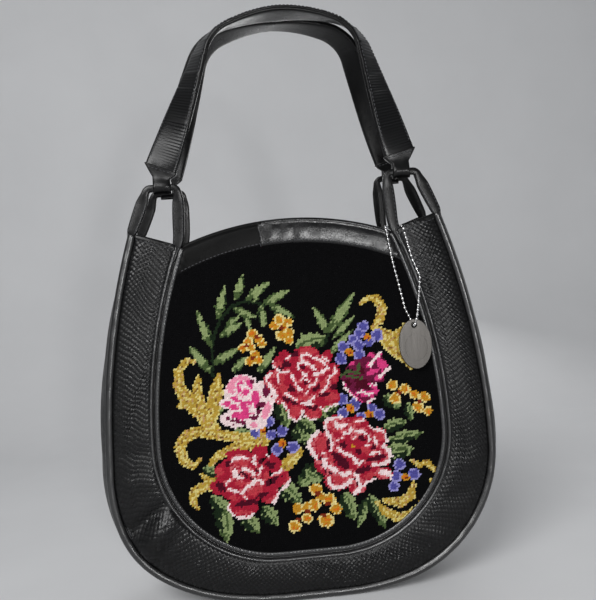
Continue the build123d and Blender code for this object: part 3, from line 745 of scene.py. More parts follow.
def wool_material():
    made, tree, wool = shader("wool")
    shade = node(tree, "ShaderNodeHueSaturation")
    tree.links.new(value_of(tree, "thread").outputs["Color"], shade.inputs["Color"])
    tree.links.new(ramp(tree, noise(tree, 2600.0, 2.0), 0.3, 0.7, 0.82, 1.12), shade.inputs["Value"])
    tree.links.new(shade.outputs["Color"], wool.inputs["Base Color"])
    roughness(tree, wool, noise(tree, 900.0), 0.8, 1.0)
    wool.inputs["Specular IOR Level"].default_value = 0.04
    bump(tree, wool, [(noise(tree, 3200.0, 3.0), 0.5, thread_depth)])
    return made


def cloth_material(name, dark, light):
    made, tree, cloth = shader(name)
    weave = tree.nodes.new("ShaderNodeMath")
    weave.operation = "MULTIPLY"
    for direction, socket in zip(("X", "Z"), weave.inputs):
        wave = placed(tree, node(tree, "ShaderNodeTexWave", Scale=420.0, Distortion=0.6, Detail=1.0))
        wave.bands_direction = direction
        tree.links.new(wave.outputs["Fac"], socket)
    tree.links.new(blend_colours(tree, weave.outputs[0], dark, light), cloth.inputs["Base Color"])
    roughness(tree, cloth, noise(tree, 300.0), 0.75, 0.95)
    bump(tree, cloth, [(weave.outputs[0], 0.4, thread_depth)])
    return made


def metal_material(name, dark, light, rough_low, rough_high, streak):
    made, tree, metal = shader(name)
    stretch = placed(tree, node(tree, "ShaderNodeMapping", Scale=streak))
    brushed = node(tree, "ShaderNodeTexNoise", Scale=400.0, Detail=4.0)
    tree.links.new(stretch.outputs["Vector"], brushed.inputs["Vector"])
    tree.links.new(blend_colours(tree, brushed.outputs["Fac"], dark, light), metal.inputs["Base Color"])
    metal.inputs["Metallic"].default_value = 1
    roughness(tree, metal, brushed.outputs["Fac"], rough_low, rough_high)
    bump(tree, metal, [(brushed.outputs["Fac"], 0.12, brush_depth)])
    return made


def thread_material(dark, light):
    made, tree, thread = shader("thread")
    twist = noise(tree, 2400.0, 1.0)
    tree.links.new(blend_colours(tree, twist, dark, light), thread.inputs["Base Color"])
    roughness(tree, thread, twist, 0.45, 0.65)
    bump(tree, thread, [(twist, 0.4, thread_depth)])
    return made


black = (0.0022, 0.0022, 0.0025)
soft_black = (0.0050, 0.0050, 0.0055)
plain_leather = leather_material("plain_leather", black, soft_black, 0.20, 0.32, 900.0, 0.42)
roll_leather = leather_material("roll_leather", black, soft_black, 0.28, 0.38, 900.0, 1.0)
soft_leather = leather_material(
    "soft_leather", (0.0022, 0.0022, 0.0023), (0.0048, 0.0048, 0.0050), 0.26, 0.38, 700.0, 0.28
)
# Duller, darker copy of the plain leather: the darker colour is painted shade, for the left top band and the
# gusset
shaded_dull_leather = leather_material(
    "shaded_dull_leather", (0.0020, 0.0020, 0.0020), (0.0040, 0.0040, 0.0040), 0.30, 0.42, 800.0, 0.08
)
# Snakeskin colours: painted groove shade, then the dark and light tones of the scales
snakeskin = snake_material(
    "snakeskin", (0.0010, 0.0010, 0.0011), (0.0025, 0.0025, 0.0027), (0.0090, 0.0092, 0.0098)
)
wool = wool_material()
lining_cloth = cloth_material("lining_cloth", (0.008, 0.008, 0.009), (0.030, 0.030, 0.033))
canvas_cloth = cloth_material("canvas_cloth", (0.0010, 0.0010, 0.0012), (0.0022, 0.0022, 0.0026))
tag_steel = metal_material("tag_steel", (0.075, 0.071, 0.067), (0.12, 0.113, 0.105), 0.38, 0.50, (1, 1, 0.08))
chain_steel = metal_material("chain_steel", (0.62, 0.62, 0.62), (0.80, 0.80, 0.80), 0.14, 0.24, (1, 1, 1))
snap_metal = metal_material("snap_metal", (0.36, 0.36, 0.36), (0.50, 0.50, 0.50), 0.30, 0.45, (1, 1, 1))
thread = thread_material((0.010, 0.010, 0.012), (0.060, 0.062, 0.068))


# Bindings
roll_sides = 11
outer_lip = 0.0015
outer_lip_depth = 0.006
outer_lip_inside = 0.0002
outer_roll_end = 0.0062
outer_roll_height = 0.0040
outer_strip_shares = [
    (0.65, 0.4), (0.70, 0.8), (0.78, 0.95), (0.87, 0.85), (0.94, 0.6), (0.96, 0.1),
    (0.96, -0.6), (0.10, -0.6),
]
outer_stitch_inset = 0.0082
outer_stitch_height = 0.0018
inner_roll_end = 0.0044
inner_roll_height = 0.0036
inner_roll_sink = 0.0008
inner_strip_shares = [
    (0.48, 0.45), (0.56, 0.9), (0.70, 1.1), (0.84, 1), (0.93, 0.7), (0.95, 0.15),
    (0.95, -0.5), (0.40, -0.5),
]
inner_stitch_inset = 0.0080
inner_stitch_height = 0.0020
binding_stitch_end = 0.004
binding_ripple_share = 0.05


def half_round(left, right, top):
    """Half round of a rolled edge, from its left foot over its top to its right foot."""
    middle = (left + right) / 2
    half = (right - left) / 2
    return [(middle + half * cos(angle), top * sin(angle)) for angle in np.linspace(pi, 0, roll_sides)]


outer_section = [
    (-outer_lip, -outer_lip_depth), (-outer_lip, -outer_lip_depth / 2),
    *half_round(-outer_lip, outer_roll_end, outer_roll_height),
    *scaled(outer_strip_shares, strip_reach, strip_height), (outer_lip_inside, -outer_lip_depth),
]
inner_section = [
    (0, -inner_roll_sink), *half_round(0, inner_roll_end, inner_roll_height),
    *scaled(inner_strip_shares, strip_reach, strip_height),
]


def binding(side, label, outline, section, stitch_inset, stitch_height):
    """Rolled strip along an edge of the front or the back, with its seam."""
    back = side == "back"
    places, inward = bowl_path(outline, 0, binding_step)
    along = np.arange(len(places)) * binding_step
    ripple = 1 + binding_ripple_share * np.sin(along * 310) * np.sin(along * 47 + 1)
    points = swept(places, inward, section)
    points[:, 2] *= np.repeat(ripple, len(section))
    shape = Shape()
    shape.add(points, tube_faces(len(places), len(section)))
    name = f"{side}_{label}_binding"
    piece(f"{name}_leather", shape, roll_leather, "bag", [name], back)
    row = Shape()
    line = np.column_stack([places + inward * stitch_inset, np.full(len(places), stitch_height)])
    stitch_row(row, line, outwards(len(line)), binding_stitch_end)
    stitches(name, row, "bag", back)


# Snakeskin of one side
surround_puff = 0.0024
surround_rim_inset = 0.0072
surround_seam_inset = 0.0012
surround_edge_share = 0.06
surround_wave = 0.0005
surround_sink = 0.0004
scale_wander = 0.0014
scale_roundness = 0.32
chance_steps = (127.1, 311.7)
chance_sizes = (43758.5453, 24634.6345)
chance_shift = 1.7


def lattice(along, across):
    """Height and tone of small kite-shaped scales, each a low dome with a lean of its own."""
    first = along / scale_width + across / scale_length
    second = along / scale_width - across / scale_length
    dome = np.abs(np.sin(first * pi) * np.sin(second * pi)) ** scale_roundness
    index = np.floor(first) * chance_steps[0] + np.floor(second) * chance_steps[1]
    tone = np.abs(np.sin(index) * chance_sizes[0]) % 1
    lean = np.abs(np.sin(index + chance_shift) * chance_sizes[1]) % 1
    slope = (tone - 0.5) * (first % 1 - 0.5) + (lean - 0.5) * (second % 1 - 0.5)
    return dome + scale_tilt * slope * dome, tone


def nearness(places, first, last, half_width):
    """Rounded ridge along a line between two places, from 0 to 1."""
    run = last - first
    share = np.clip(((places - first) @ run) / (run @ run), 0, 1)
    gap = np.linalg.norm(places - first - share[:, None] * run, axis=1)
    return np.exp(-((gap / half_width) ** 2)) * (0.45 + 0.55 * np.sin(np.clip(share, 0.02, 0.98) * pi))


def puff(over):
    """Swell of the surround at a share of the way over it."""
    return surround_puff * (1 - (2 * over - 1) ** 2) ** 0.6


def surround(side):
    """Snakeskin round the middle of the front or the back: a swollen grid with folds and scales."""
    step = scale_width / steps_per_scale
    rim, _ = bowl_path(outer_edge, surround_rim_inset, step)
    seam, _ = bowl_path(inner_edge, surround_seam_inset, step)
    length = np.linalg.norm(np.diff((rim[: len(seam)] + seam) / 2, axis=0), axis=1).sum()
    rows = int(length / step)
    shares = np.linspace(0, 1, rows)
    rim = taken(shares, np.linspace(0, 1, len(rim)), rim)
    seam = taken(shares, np.linspace(0, 1, len(seam)), seam)
    width = np.linalg.norm(seam - rim, axis=1).mean()
    columns = int(width / scale_length * steps_per_scale) + 1
    across = np.linspace(0, 1, columns)
    places = rim[:, None, :] * (1 - across[None, :, None]) + seam[:, None, :] * across[None, :, None]
    ahead = unit(np.gradient(places, axis=0)).reshape(-1, 2)
    places = places.reshape(-1, 2)
    along = np.repeat(np.arange(rows) * step, columns)
    over = np.tile(across, rows)
    relief, tone = lattice(along, np.tile(np.arange(columns) * scale_length / steps_per_scale, rows))
    edge = smooth_step(np.minimum(over, 1 - over) / surround_edge_share)
    wander = scale_wander * np.sin(along * 75 + 2 * np.sin(over * 5 + along * 23)) * edge
    places += ahead * wander[:, None]
    out = puff(over) + surround_wave * np.sin(along * 52 + 2 * np.sin(along * 13)) * edge
    for first, last, height, half in folds_px:
        ends = from_photo([first, last])
        out += height * nearness(places, ends[0], ends[1], half) * edge
    # Patches where the scales stand higher, are glossier and are painted lighter; the lighter colour is
    # painted sheen
    sheen_patches = 0.5 + 0.5 * np.sin(along * 37 + 2 * np.sin(over * 4 + along * 11)) * np.sin(over * 6 + along * 17)
    gloss_and_sheen = 0.55 + 0.45 * sheen_patches
    out += scale_relief * relief * edge * gloss_and_sheen - surround_sink * (1 - edge)
    points = np.column_stack([places, out])
    shape = Shape()
    shape.add(points, grid_faces(rows, columns), relief=relief, tone=np.clip(tone * gloss_and_sheen, 0, 1))
    name = f"{side}_surround"
    piece(f"{name}_skin", shape, snakeskin, "bag", [name], side == "back", panel_thickness)


# Needlepoint
srgb = namedtuple("srgb", "red green blue")


def linear(colour):
    """Linear colour of an 8-bit sRGB colour."""
    share = np.asarray(colour, float) / 255
    return np.where(share <= 0.04045, share / 12.92, ((share + 0.055) / 1.055) ** 2.4)


wool_colours = {
    "ground": srgb(8, 8, 9), "crimson": srgb(150, 28, 48), "bright_red": srgb(172, 54, 64),
    "burgundy": srgb(70, 14, 30), "coral": srgb(186, 92, 98), "white_pink": srgb(216, 196, 196),
    "light_pink": srgb(212, 132, 156), "magenta": srgb(196, 58, 116), "wine": srgb(96, 24, 54),
    "gold": srgb(164, 136, 54), "pale_gold": srgb(194, 180, 112), "brown_gold": srgb(118, 86, 40),
    "peach": srgb(172, 136, 92), "green": srgb(64, 80, 46), "pale_green": srgb(126, 140, 94),
    "dark_green": srgb(24, 36, 22), "violet": srgb(74, 72, 138), "pale_violet": srgb(134, 130, 182),
    "yellow": srgb(176, 126, 36), "pale_yellow": srgb(204, 188, 126), "orange": srgb(188, 100, 28),
    "brown_red": srgb(112, 42, 22),
}
wool_slots = {
    "ground": "canvas_black", "red_roses": "wool_red", "pink_roses": "wool_pink", "violets": "wool_violet",
    "yellow_blossoms": "wool_yellow", "scrolls": "wool_gold", "leaves": "wool_green",
}
kinds = list(wool_slots)
loose_px = 0.30
least_px = 1e-9
scroll_spread_px = 1.0
rose_heart_px = (353, 446, 2.4, 1.8)
violet_heart_px = (1.7, 1.4)
violet_heart_shift_px = 1
canvas_puff = 0.0016
canvas_half = 0.130
canvas_middle = 0.185
canvas_reach = 0.150
canvas_lift = 0.0001
canvas_sink = 0.0003
canvas_sheet_half = 0.131
canvas_sheet_foot = 0.030
canvas_sheet_grid = (66, 76)
open_inset = 0.0088
band_overlap = 0.002
sheet_inset = 0.003
sheet_top = 0.330
sheet_thickness = 0.0018
wool_foot = 0.040
wool_top = 0.325
wool_scatter = 0.00012
wool_slant = radians(38)
wool_slant_spread = 0.16
wool_size_spread = 0.10
wool_relief_spread = 0.18
wool_tint_spread = 0.07
wool_corner_shares = [
    (-1, 0, 0), (-0.5, -1, 0), (0.5, -1, 0), (1, 0, 0), (0.5, 1, 0), (-0.5, 1, 0),
    (-0.45, 0, 1), (0.45, 0, 1),
]
wool_faces = [(0, 1, 6), (1, 2, 7, 6), (2, 3, 7), (3, 4, 7), (4, 5, 6, 7), (5, 0, 6)]


class Canvas:
    """Stitches of the canvas: where each lies in the photograph, and its colour and kind of motif."""

    def __init__(self, spots_px):
        self.loose = spots_px + rng.normal(0, loose_px, spots_px.shape)
        self.speck = rng.random(len(spots_px))
        self.colour = np.tile(linear(wool_colours["ground"]), (len(spots_px), 1))
        self.kind = np.zeros(len(spots_px), int)

    def paint(self, where, colour, kind=None):
        self.colour[where] = linear(wool_colours[colour])
        if kind is not None:
            self.kind[where] = kinds.index(kind)

    def ellipse(self, x, y, half_width, half_height, turn=0.0):
        """Share of the way from the centre of an ellipse to its edge."""
        angle = radians(turn)
        gap = self.loose - [x, y]
        along = gap[:, 0] * cos(angle) + gap[:, 1] * sin(angle)
        across = gap[:, 1] * cos(angle) - gap[:, 0] * sin(angle)
        return np.hypot(along / half_width, across / half_height)

    def stroke(self, places, widths):
        """Share of the half width away from a line with a width at each place."""
        best = np.full(len(self.loose), np.inf)
        for first, last, wide, narrow in zip(places, places[1:], widths, widths[1:]):
            start = np.array(first, float)
            run = np.array(last, float) - start
            share = np.clip(((self.loose - start) @ run) / (run @ run), 0, 1)
            gap = np.linalg.norm(self.loose - start - share[:, None] * run, axis=1)
            best = np.minimum(best, gap / ((wide + (narrow - wide) * share) / 2))
        return best

    def even_stroke(self, width, places):
        """The same for a line with one width."""
        return self.stroke(places, [width] * len(places))

    def inside(self, outline):
        """True within a closed outline."""
        within = np.zeros(len(self.loose), bool)
        x, y = self.loose.T
        for (x_a, y_a), (x_b, y_b) in zip(outline, outline[1:] + outline[:1]):
            crosses = (y_a > y) != (y_b > y)
            within ^= crosses & (x < x_a + (y - y_a) * (x_b - x_a) / (y_b - y_a + least_px))
        return within


def leaf_parts(canvas, foot_x, foot_y, tip_x, tip_y, width):
    """Stitches of a pointed leaf, their share of the way to its tip and of the way out to its edge."""
    foot = np.array([foot_x, foot_y])
    run = np.array([tip_x, tip_y]) - foot
    gap = canvas.loose - foot
    share = (gap @ run) / (run @ run)
    side = (gap[:, 0] * run[1] - gap[:, 1] * run[0]) / np.linalg.norm(run) / (width / 2)
    belly = np.sin(np.clip(share, 0.001, 1) ** 0.7 * pi) ** 0.7
    jag = 1 + 0.16 * np.sin(share * 26)
    leaf = (share > -0.04) & (share < 1.02) & (np.abs(side) < belly * jag + 0.05)
    return leaf, share, side / belly


def paint_leaves(canvas):
    for width, *places in fern_stem_px:
        canvas.paint(canvas.even_stroke(width, places) < 1, "dark_green", "leaves")
    for row in leaves_px:
        leaf, share, out = leaf_parts(canvas, *row)
        canvas.paint(leaf, "green", "leaves")
        canvas.paint(leaf & (out > 0.45), "pale_green")
        canvas.paint(leaf & (out < -0.1) & (share < 0.75), "dark_green")
        canvas.paint(leaf & (np.abs(out) < 0.14) & (share > 0.2), "pale_green")
        canvas.paint(leaf & (canvas.speck < 0.08), "pale_green")
    for row in fern_leaves_px:
        leaf, share, out = leaf_parts(canvas, *row)
        canvas.paint(leaf, "pale_green", "leaves")
        canvas.paint(leaf & (np.abs(out) > 0.72) & (canvas.speck < 0.75), "green")
        canvas.paint(leaf & (share < 0.28) & (canvas.speck < 0.8), "green")
        canvas.paint(leaf & (out < -0.5) & (canvas.speck > 0.7), "dark_green")


def paint_scrolls(canvas):
    for route in scrolls_px:
        places = [row[:2] for row in route]
        gap = canvas.stroke(places, [row[2] + scroll_spread_px for row in route])
        canvas.paint(gap < 1, "gold", "scrolls")
        canvas.paint((gap < 1) & (gap > 0.70) & (canvas.speck < 0.6), "pale_gold")
        canvas.paint((gap < 0.35) & (canvas.speck < 0.55), "pale_gold")
        canvas.paint((gap < 0.9) & (canvas.speck > 0.92), "brown_gold")
        canvas.paint((gap < 1) & (np.abs(canvas.speck - 0.3) < 0.03), "peach")


def paint_florets(canvas):
    for x, y, radius in violets_px:
        gap = canvas.ellipse(x, y, radius, radius)
        canvas.paint(gap < 1, "violet", "violets")
        canvas.paint((gap < 1) & (gap > 0.66) & (canvas.speck < 0.75), "pale_violet")
    for x, y, radius in violet_eyes_px:
        gap = canvas.ellipse(x, y, radius, radius * 0.8, 30)
        canvas.paint(gap < 1, "yellow", "violets")
        canvas.paint(gap < 0.7, "orange")
        heart = canvas.ellipse(x + violet_heart_shift_px, y + violet_heart_shift_px, *violet_heart_px)
        canvas.paint(heart < 1, "brown_red")
    for x, y, radius in blossoms_px:
        gap = canvas.ellipse(x, y, radius, radius * 0.9)
        canvas.paint(gap < 1, "yellow", "yellow_blossoms")
        canvas.paint((gap < 1) & (gap > 0.68) & (canvas.speck < 0.7), "pale_yellow")
        canvas.paint((gap < 0.5) & (canvas.speck < 0.3), "orange")
    for x, y, radius in blossom_eyes_px:
        canvas.paint(canvas.ellipse(x, y, radius, radius) < 1, "brown_red", "yellow_blossoms")


def paint_flower(canvas, kind, base, layers, edges, edge_colour, halo):
    """Petals of one colour, patches of others over them, and pale petal edges with a soft halo on top."""
    canvas.paint(base, *kind)
    ragged = 0.5 * (canvas.speck - 0.5)
    for table, colour in layers:
        for row in table:
            canvas.paint(base & (canvas.ellipse(*row) + ragged < 1), colour)
    for width, *places in edges:
        gap = canvas.even_stroke(width, places) + ragged
        canvas.paint(base & (gap < 2.2) & (gap > 0.8) & (canvas.speck < 0.62), halo)
        canvas.paint(gap < 1, edge_colour, kind[1])


def petals(canvas, table):
    return np.min([canvas.ellipse(*row) for row in table], axis=0) < 1


def paint_roses(canvas):
    pink = petals(canvas, pink_petals_px)
    pink_layers = [(pink_light_px, "light_pink"), (pink_bright_px, "magenta"), (pink_dark_px, "wine")]
    pink_kind = ("white_pink", "pink_roses")
    paint_flower(canvas, pink_kind, pink, pink_layers, pink_edge_px, "white_pink", "light_pink")
    bud = canvas.inside(bud_outline_px)
    bud_layers = [(bud_dark_px, "burgundy"), (bud_bright_px, "magenta")]
    paint_flower(canvas, ("wine", "pink_roses"), bud, bud_layers, bud_edge_px, "white_pink", "magenta")
    for width, *places in bud_green_px:
        canvas.paint(canvas.even_stroke(width, places) < 1, "green", "pink_roses")
    red = petals(canvas, rose_petals_px)
    red_layers = [(rose_light_px, "bright_red"), (rose_dark_px, "burgundy")]
    paint_flower(canvas, ("crimson", "red_roses"), red, red_layers, rose_edge_px, "white_pink", "coral")
    canvas.paint(canvas.ellipse(*rose_heart_px) < 1, "yellow", "red_roses")


def canvas_height(places):
    """Gentle swell of the canvas."""
    across = np.clip(np.abs(places[:, 0]) / canvas_half, 0, 1)
    up = np.clip(np.abs(places[:, 1] - canvas_middle) / canvas_reach, 0, 1)
    return canvas_puff * (1 - across**2) * (1 - up**2) + canvas_lift


def sunk_height(places):
    """Height of the canvas under its stitches."""
    return canvas_height(places) - canvas_sink


def opening_half(up, inset):
    """Half width of the opening in the surround at a height."""
    rim = bowl_half(inner_edge, inset, outline_step)
    return np.interp(up, rim[1:, 1], rim[1:, 0], left=-1)


def in_opening(places, inset):
    """True inside the inner binding and below the top band."""
    reach = arch_radius - band_height + band_overlap
    below_band = np.hypot(places[:, 0], places[:, 1] - arch_centre) < reach
    return (np.abs(places[:, 0]) < opening_half(places[:, 1], inset)) & below_band


def grid_places(across, up):
    """Places of a grid, row by row."""
    return np.stack(np.meshgrid(across, up), axis=-1).reshape(-1, 2)


def opening_sheet(half, foot, grid, height):
    """Sheet that fills the opening, as high as a function says at its places."""
    columns, rows = grid
    places = grid_places(np.linspace(-half, half, columns), np.linspace(foot, sheet_top, rows))
    faces = np.array(grid_faces(rows, columns))
    kept = in_opening(places, sheet_inset)[faces].all(axis=1)
    used, corners = np.unique(faces[kept], return_inverse=True)
    shape = Shape()
    shape.add(np.column_stack([places, height(places)])[used], corners.reshape(-1, 4).tolist())
    return shape


def wool_stitches(places, colours):
    """Short slanting wool stitches, one at each place."""
    count = len(places)
    slant = wool_slant + rng.normal(0, wool_slant_spread, count)
    length = wool_length / 2 * (1 + rng.normal(0, wool_size_spread, count))
    width = wool_width / 2 * (1 + rng.normal(0, wool_size_spread, count))
    height = wool_relief * (1 + rng.normal(0, wool_relief_spread, count))
    along = np.column_stack([np.cos(slant), np.sin(slant)])
    side = np.column_stack([-along[:, 1], along[:, 0]])
    base = canvas_height(places)
    corners = len(wool_corner_shares)
    block = np.empty((count, corners, 3))
    for index, (ahead, aside, up) in enumerate(wool_corner_shares):
        block[:, index, :2] = places + along * (ahead * length)[:, None] + side * (aside * width)[:, None]
        block[:, index, 2] = base + up * height
    shape = Shape()
    faces = repeated(wool_faces, count, corners)
    shape.add(block.reshape(-1, 3), faces, thread=np.repeat(colours, corners, axis=0))
    return shape


def needlepoint():
    """Wool stitches, a piece for each kind of motif, and the canvas under them."""
    across = np.arange(-canvas_half, canvas_half, wool_pitch)
    places = grid_places(across, np.arange(wool_foot, wool_top, wool_pitch))
    places = places[in_opening(places, open_inset)]
    places = places + rng.normal(0, wool_scatter, places.shape)
    canvas = Canvas(to_photo(places))
    for painter in (paint_leaves, paint_scrolls, paint_florets, paint_roses):
        painter(canvas)
    shade = 1 + rng.normal(0, wool_tint_spread, (len(places), 1))
    tint = np.clip(canvas.colour * shade, 0, 1)
    for index, (kind, slot) in enumerate(wool_slots.items()):
        chosen = canvas.kind == index
        shape = wool_stitches(places[chosen], tint[chosen])
        replaced = [] if kind == "ground" else [f"wool_{kind}"]
        piece(f"{kind}_stitches", shape, wool, "bag", replaced)
    shape = opening_sheet(canvas_sheet_half, canvas_sheet_foot, canvas_sheet_grid, sunk_height)
    replaced = ["needlepoint_panel"]
    piece("needlepoint_canvas", shape, canvas_cloth, "bag", replaced, False, sheet_thickness)


# Top bands
band_end = 0.112
band_lap = 0.004
band_step = 0.0012
band_bead = 0.0021
band_foot = 0.0040
band_hem = 0.0022
band_turn = 0.0004
band_fold = 0.0010
band_face_shares = [(0.34, 0.75), (0.45, 1), (0.90, 1.15), (1.50, 1.15)]
band_smooth = 0.006
band_sink = 0.0012
band_sink_inset = 0.0085
band_sink_run = 0.003
band_stitch_rise = 0.0026
band_stitch_inset = 0.0095
band_stitch_end = 0.002
seam_stitch_aside = 0.0022
seam_stitch_falls = (0.008, 0.024)
edge_strip_inset = 0.003
edge_strip_points = 30
edge_strip_lift = 0.0009
edge_strip_stitch_fall = 0.0040
edge_strip_shares = [
    (-0.10, -1), (-0.12, 0.1), (-0.08, 0.6), (0.04, 0.9), (0.26, 0.95), (0.44, 0.8), (0.52, 0.45), (0.54, 0),
    (0.54, -0.5), (0.20, -1),
]
edge_strip_top = 4


def band_section(proud):
    """Closed section of the top band: a rolled edge, a flat run and a turned lower edge."""
    angles = np.linspace(-pi * 0.75, pi * 0.62, 9)
    roll = [(band_bead * 0.6 - band_bead * cos(angle), band_bead * sin(angle)) for angle in angles]
    return [
        (band_foot, -panel_thickness), *roll, *scaled(band_face_shares, strip_reach, proud),
        (band_height - band_hem, proud), (band_height - band_turn, proud * 0.7), (band_height, 0),
        (band_height, -band_fold), (band_height * 0.5, -panel_thickness),
    ]


def top_band(name, left_end, right_end, proud, back, wrinkle, material):
    """Band along the mouth between two places across, with its seam."""
    places, inward = arch_path(left_end, right_end, band_step)
    section = band_section(proud)
    points = swept(places, inward, section)
    across = np.repeat(places[:, 0], len(section))
    drop = np.tile([row[0] for row in section], len(places))
    ripple = np.sin(across * 190 + 3 * np.sin(across * 61)) * np.sin(across * 83 + drop * 120 + 2)
    points[:, 2] += wrinkle * ripple * smooth_step(drop / band_smooth) * (points[:, 2] > 0)
    past = np.abs(points[:, 0]) - opening_half(points[:, 1], band_sink_inset)
    points[:, 2] -= (proud + band_sink) * smooth_step(past / band_sink_run)
    shape = Shape()
    shape.add(points, tube_faces(len(places), len(section)))
    piece(f"{name}_leather", shape, material, "bag", [name], back)
    row = Shape()
    line = places + inward * (band_height - band_stitch_rise)
    line = line[np.abs(line[:, 0]) < opening_half(line[:, 1], band_stitch_inset)]
    level = np.full(len(line), proud * 1.05)
    stitch_row(row, np.column_stack([line, level]), outwards(len(line)), band_stitch_end)
    if wrinkle and not back:
        aside = band_seam + seam_stitch_aside
        seam = np.array([[aside, mouth_peak - fall, proud] for fall in seam_stitch_falls])
        stitch_row(row, seam, outwards(len(seam)))
    stitches(name, row, "bag", back)


def edge_strip(name, side, back):
    """Folded strip along the top edge of the surround, between the feet of a loop."""
    start = inner_leg_foot + edge_strip_inset
    across = np.linspace(start, outer_leg_foot - edge_strip_inset, edge_strip_points)
    places = np.column_stack([across, mouth_height(across)])
    inward = np.tile([0.0, -1.0], (len(across), 1))
    section = scaled(edge_strip_shares, strip_reach, strip_height)
    points = swept(places, inward, section)
    over = np.clip((across - inner_leg_foot) / (outer_leg_foot - inner_leg_foot), 0, 1)
    points[:, 2] += np.repeat(edge_strip_lift + puff(over), len(section))
    shape = Shape()
    shape.add(points * [side, 1, 1], facing(tube_faces(len(across), len(section)), side < 0))
    piece(f"{name}_leather", shape, soft_leather, "bag", (), back)
    row = Shape()
    flat = places * [side, 1] - [0, edge_strip_stitch_fall]
    line = np.column_stack([flat, points[edge_strip_top::len(section), 2]])
    stitch_row(row, line, outwards(len(line)))
    stitches(name, row, "bag", back)


# Loops
loop_step = 0.0012
loop_sides = 16
loop_thickness = 0.0036
loop_outer_inset = 0.0014
loop_outer_rows = 7
loop_inner_inset = 0.0022
loop_inner_rows = 8
loop_foot_spread = 0.0006
loop_foot_sink = 0.001
loop_foot_draw = 0.0004
loop_radii = [0.016, 0.0046, 0.0046, 0.060]
bar_blend_fall = 0.014
bar_blend_run = 0.012
loop_sink_rise = 0.004
loop_sink_run = 0.010
sunk_width = 0.0046
sunk_thinning = 0.0010
sunk_depth = 0.0002
loop_stitch_fall = 0.012
loop_stitch_shares = (-0.34, 0.34)


def loop(name, side, back):
    """Loop that carries a handle, with legs that run down under the bindings."""
    outer, _ = bowl_path(outer_edge, loop_outer_inset, binding_step)
    inner, _ = bowl_path(inner_edge, loop_inner_inset, binding_step)
    corners = [
        outer[-loop_outer_rows],
        (outer_leg_foot + loop_foot_spread, mouth_height(outer_leg_foot) - loop_foot_sink),
        (outer_leg_head, bar_height), (inner_leg_head, bar_height),
        (inner_leg_foot - loop_foot_draw, mouth_height(inner_leg_foot)), inner[-loop_inner_rows],
    ]
    line = rounded_route(corners, loop_radii, loop_step)
    along = unit(np.gradient(line, axis=0))
    aside = np.column_stack([-along[:, 1], along[:, 0]])
    mouth = mouth_height(line[:, 0])
    rise = smooth_step((line[:, 1] - bar_height + bar_blend_fall) / bar_blend_run)
    width = leg_width * 0.98 + (bar_radius * 2 - leg_width) * rise
    thickness = loop_thickness + (bar_radius * 2 - loop_thickness) * rise
    share = np.clip((line[:, 1] - mouth) / (bar_height - valley_height), 0, 1)
    width *= 1 + 0.24 * np.sin(share * pi)
    sunk = smooth_step((mouth + loop_sink_rise - line[:, 1]) / loop_sink_run)
    width -= (leg_width - sunk_width) * sunk
    thickness -= sunk_thinning * sunk
    out = bar_depth - sunk_depth * sunk
    across, height = np.array(rounded(loop_sides, 4)) / 2
    flat = line[:, None, :] + aside[:, None, :] * (across[None, :] * width[:, None])[..., None]
    heights = out[:, None] + height[None, :] * thickness[:, None]
    points = np.concatenate([flat, heights[..., None]], axis=2).reshape(-1, 3) * [side, 1, 1]
    shape = Shape()
    shape.add(points, facing(tube_faces(len(line), loop_sides), side > 0))
    piece(f"{name}_leather", shape, soft_leather, "bag", [name], back)
    row = Shape()
    free = (line[:, 1] < bar_height - loop_stitch_fall) & (line[:, 1] > mouth - loop_sink_rise)
    legs = np.flatnonzero(free)
    middle = len(line) // 2
    for leg in (legs[legs < middle], legs[legs > middle]):
        for edge in loop_stitch_shares:
            spots = line[leg] + aside[leg] * (width[leg] * edge)[:, None]
            level = out[leg] + thickness[leg] * 0.46
            stitch_row(row, np.column_stack([spots * [side, 1], level]), outwards(len(leg)))
    stitches(name, row, "bag", back)


# Handles
strap_centre = (inner_leg_head + outer_leg_head) / 2
strap_foot = bar_height + tab_height
strap_step = 0.0008
strap_columns = 30
strap_edge_share = 0.12
strap_fade = 0.02
layer_half_gap = 0.00005
strap_under_shares = (0.49, -0.49)
strap_stitch_shares = (-0.41, 0.41)
strap_stitch_rows = 10
lining_width_share = 0.985
plate_start = 0.02
plate_run = 0.05
tab_sides = 28
tab_fold_rows = 9
tab_rows = 22
tab_first = 0.0008
tab_lap = 0.001
tab_spread = 0.0004
tab_cover = 0.0008
tab_least = 0.0001
tab_dip = 0.0011
tab_ripple = 0.00025
tab_stitch_fall = 0.0016
tab_stitch_lift = 0.0001
tab_stitch_places = np.linspace(-0.8, 0.8, 12)


def strap_line(sway):
    """Places, directions, face normals and width directions along the strap."""
    corners = [
        (strap_centre, strap_foot), (sway + shoulder_half, shoulder_height), (sway, handle_apex),
        (sway - shoulder_half, shoulder_height), (-strap_centre, strap_foot),
    ]
    line = rounded_route(corners, [shoulder_radius, crown_radius, shoulder_radius], strap_step)
    along = unit(np.gradient(line, axis=0))
    reach = np.linspace(0, 2, len(line))
    twist = (1 - np.abs(1 - reach) ** twist_power) * pi / 2
    outward = np.column_stack([along[:, 1], -along[:, 0]])
    face = np.column_stack([outward * np.sin(twist)[:, None], np.cos(twist)])
    straight = np.column_stack([along, np.zeros(len(along))])
    places = np.column_stack([line, np.full(len(line), bar_depth)])
    return places, face, np.cross(face, straight)


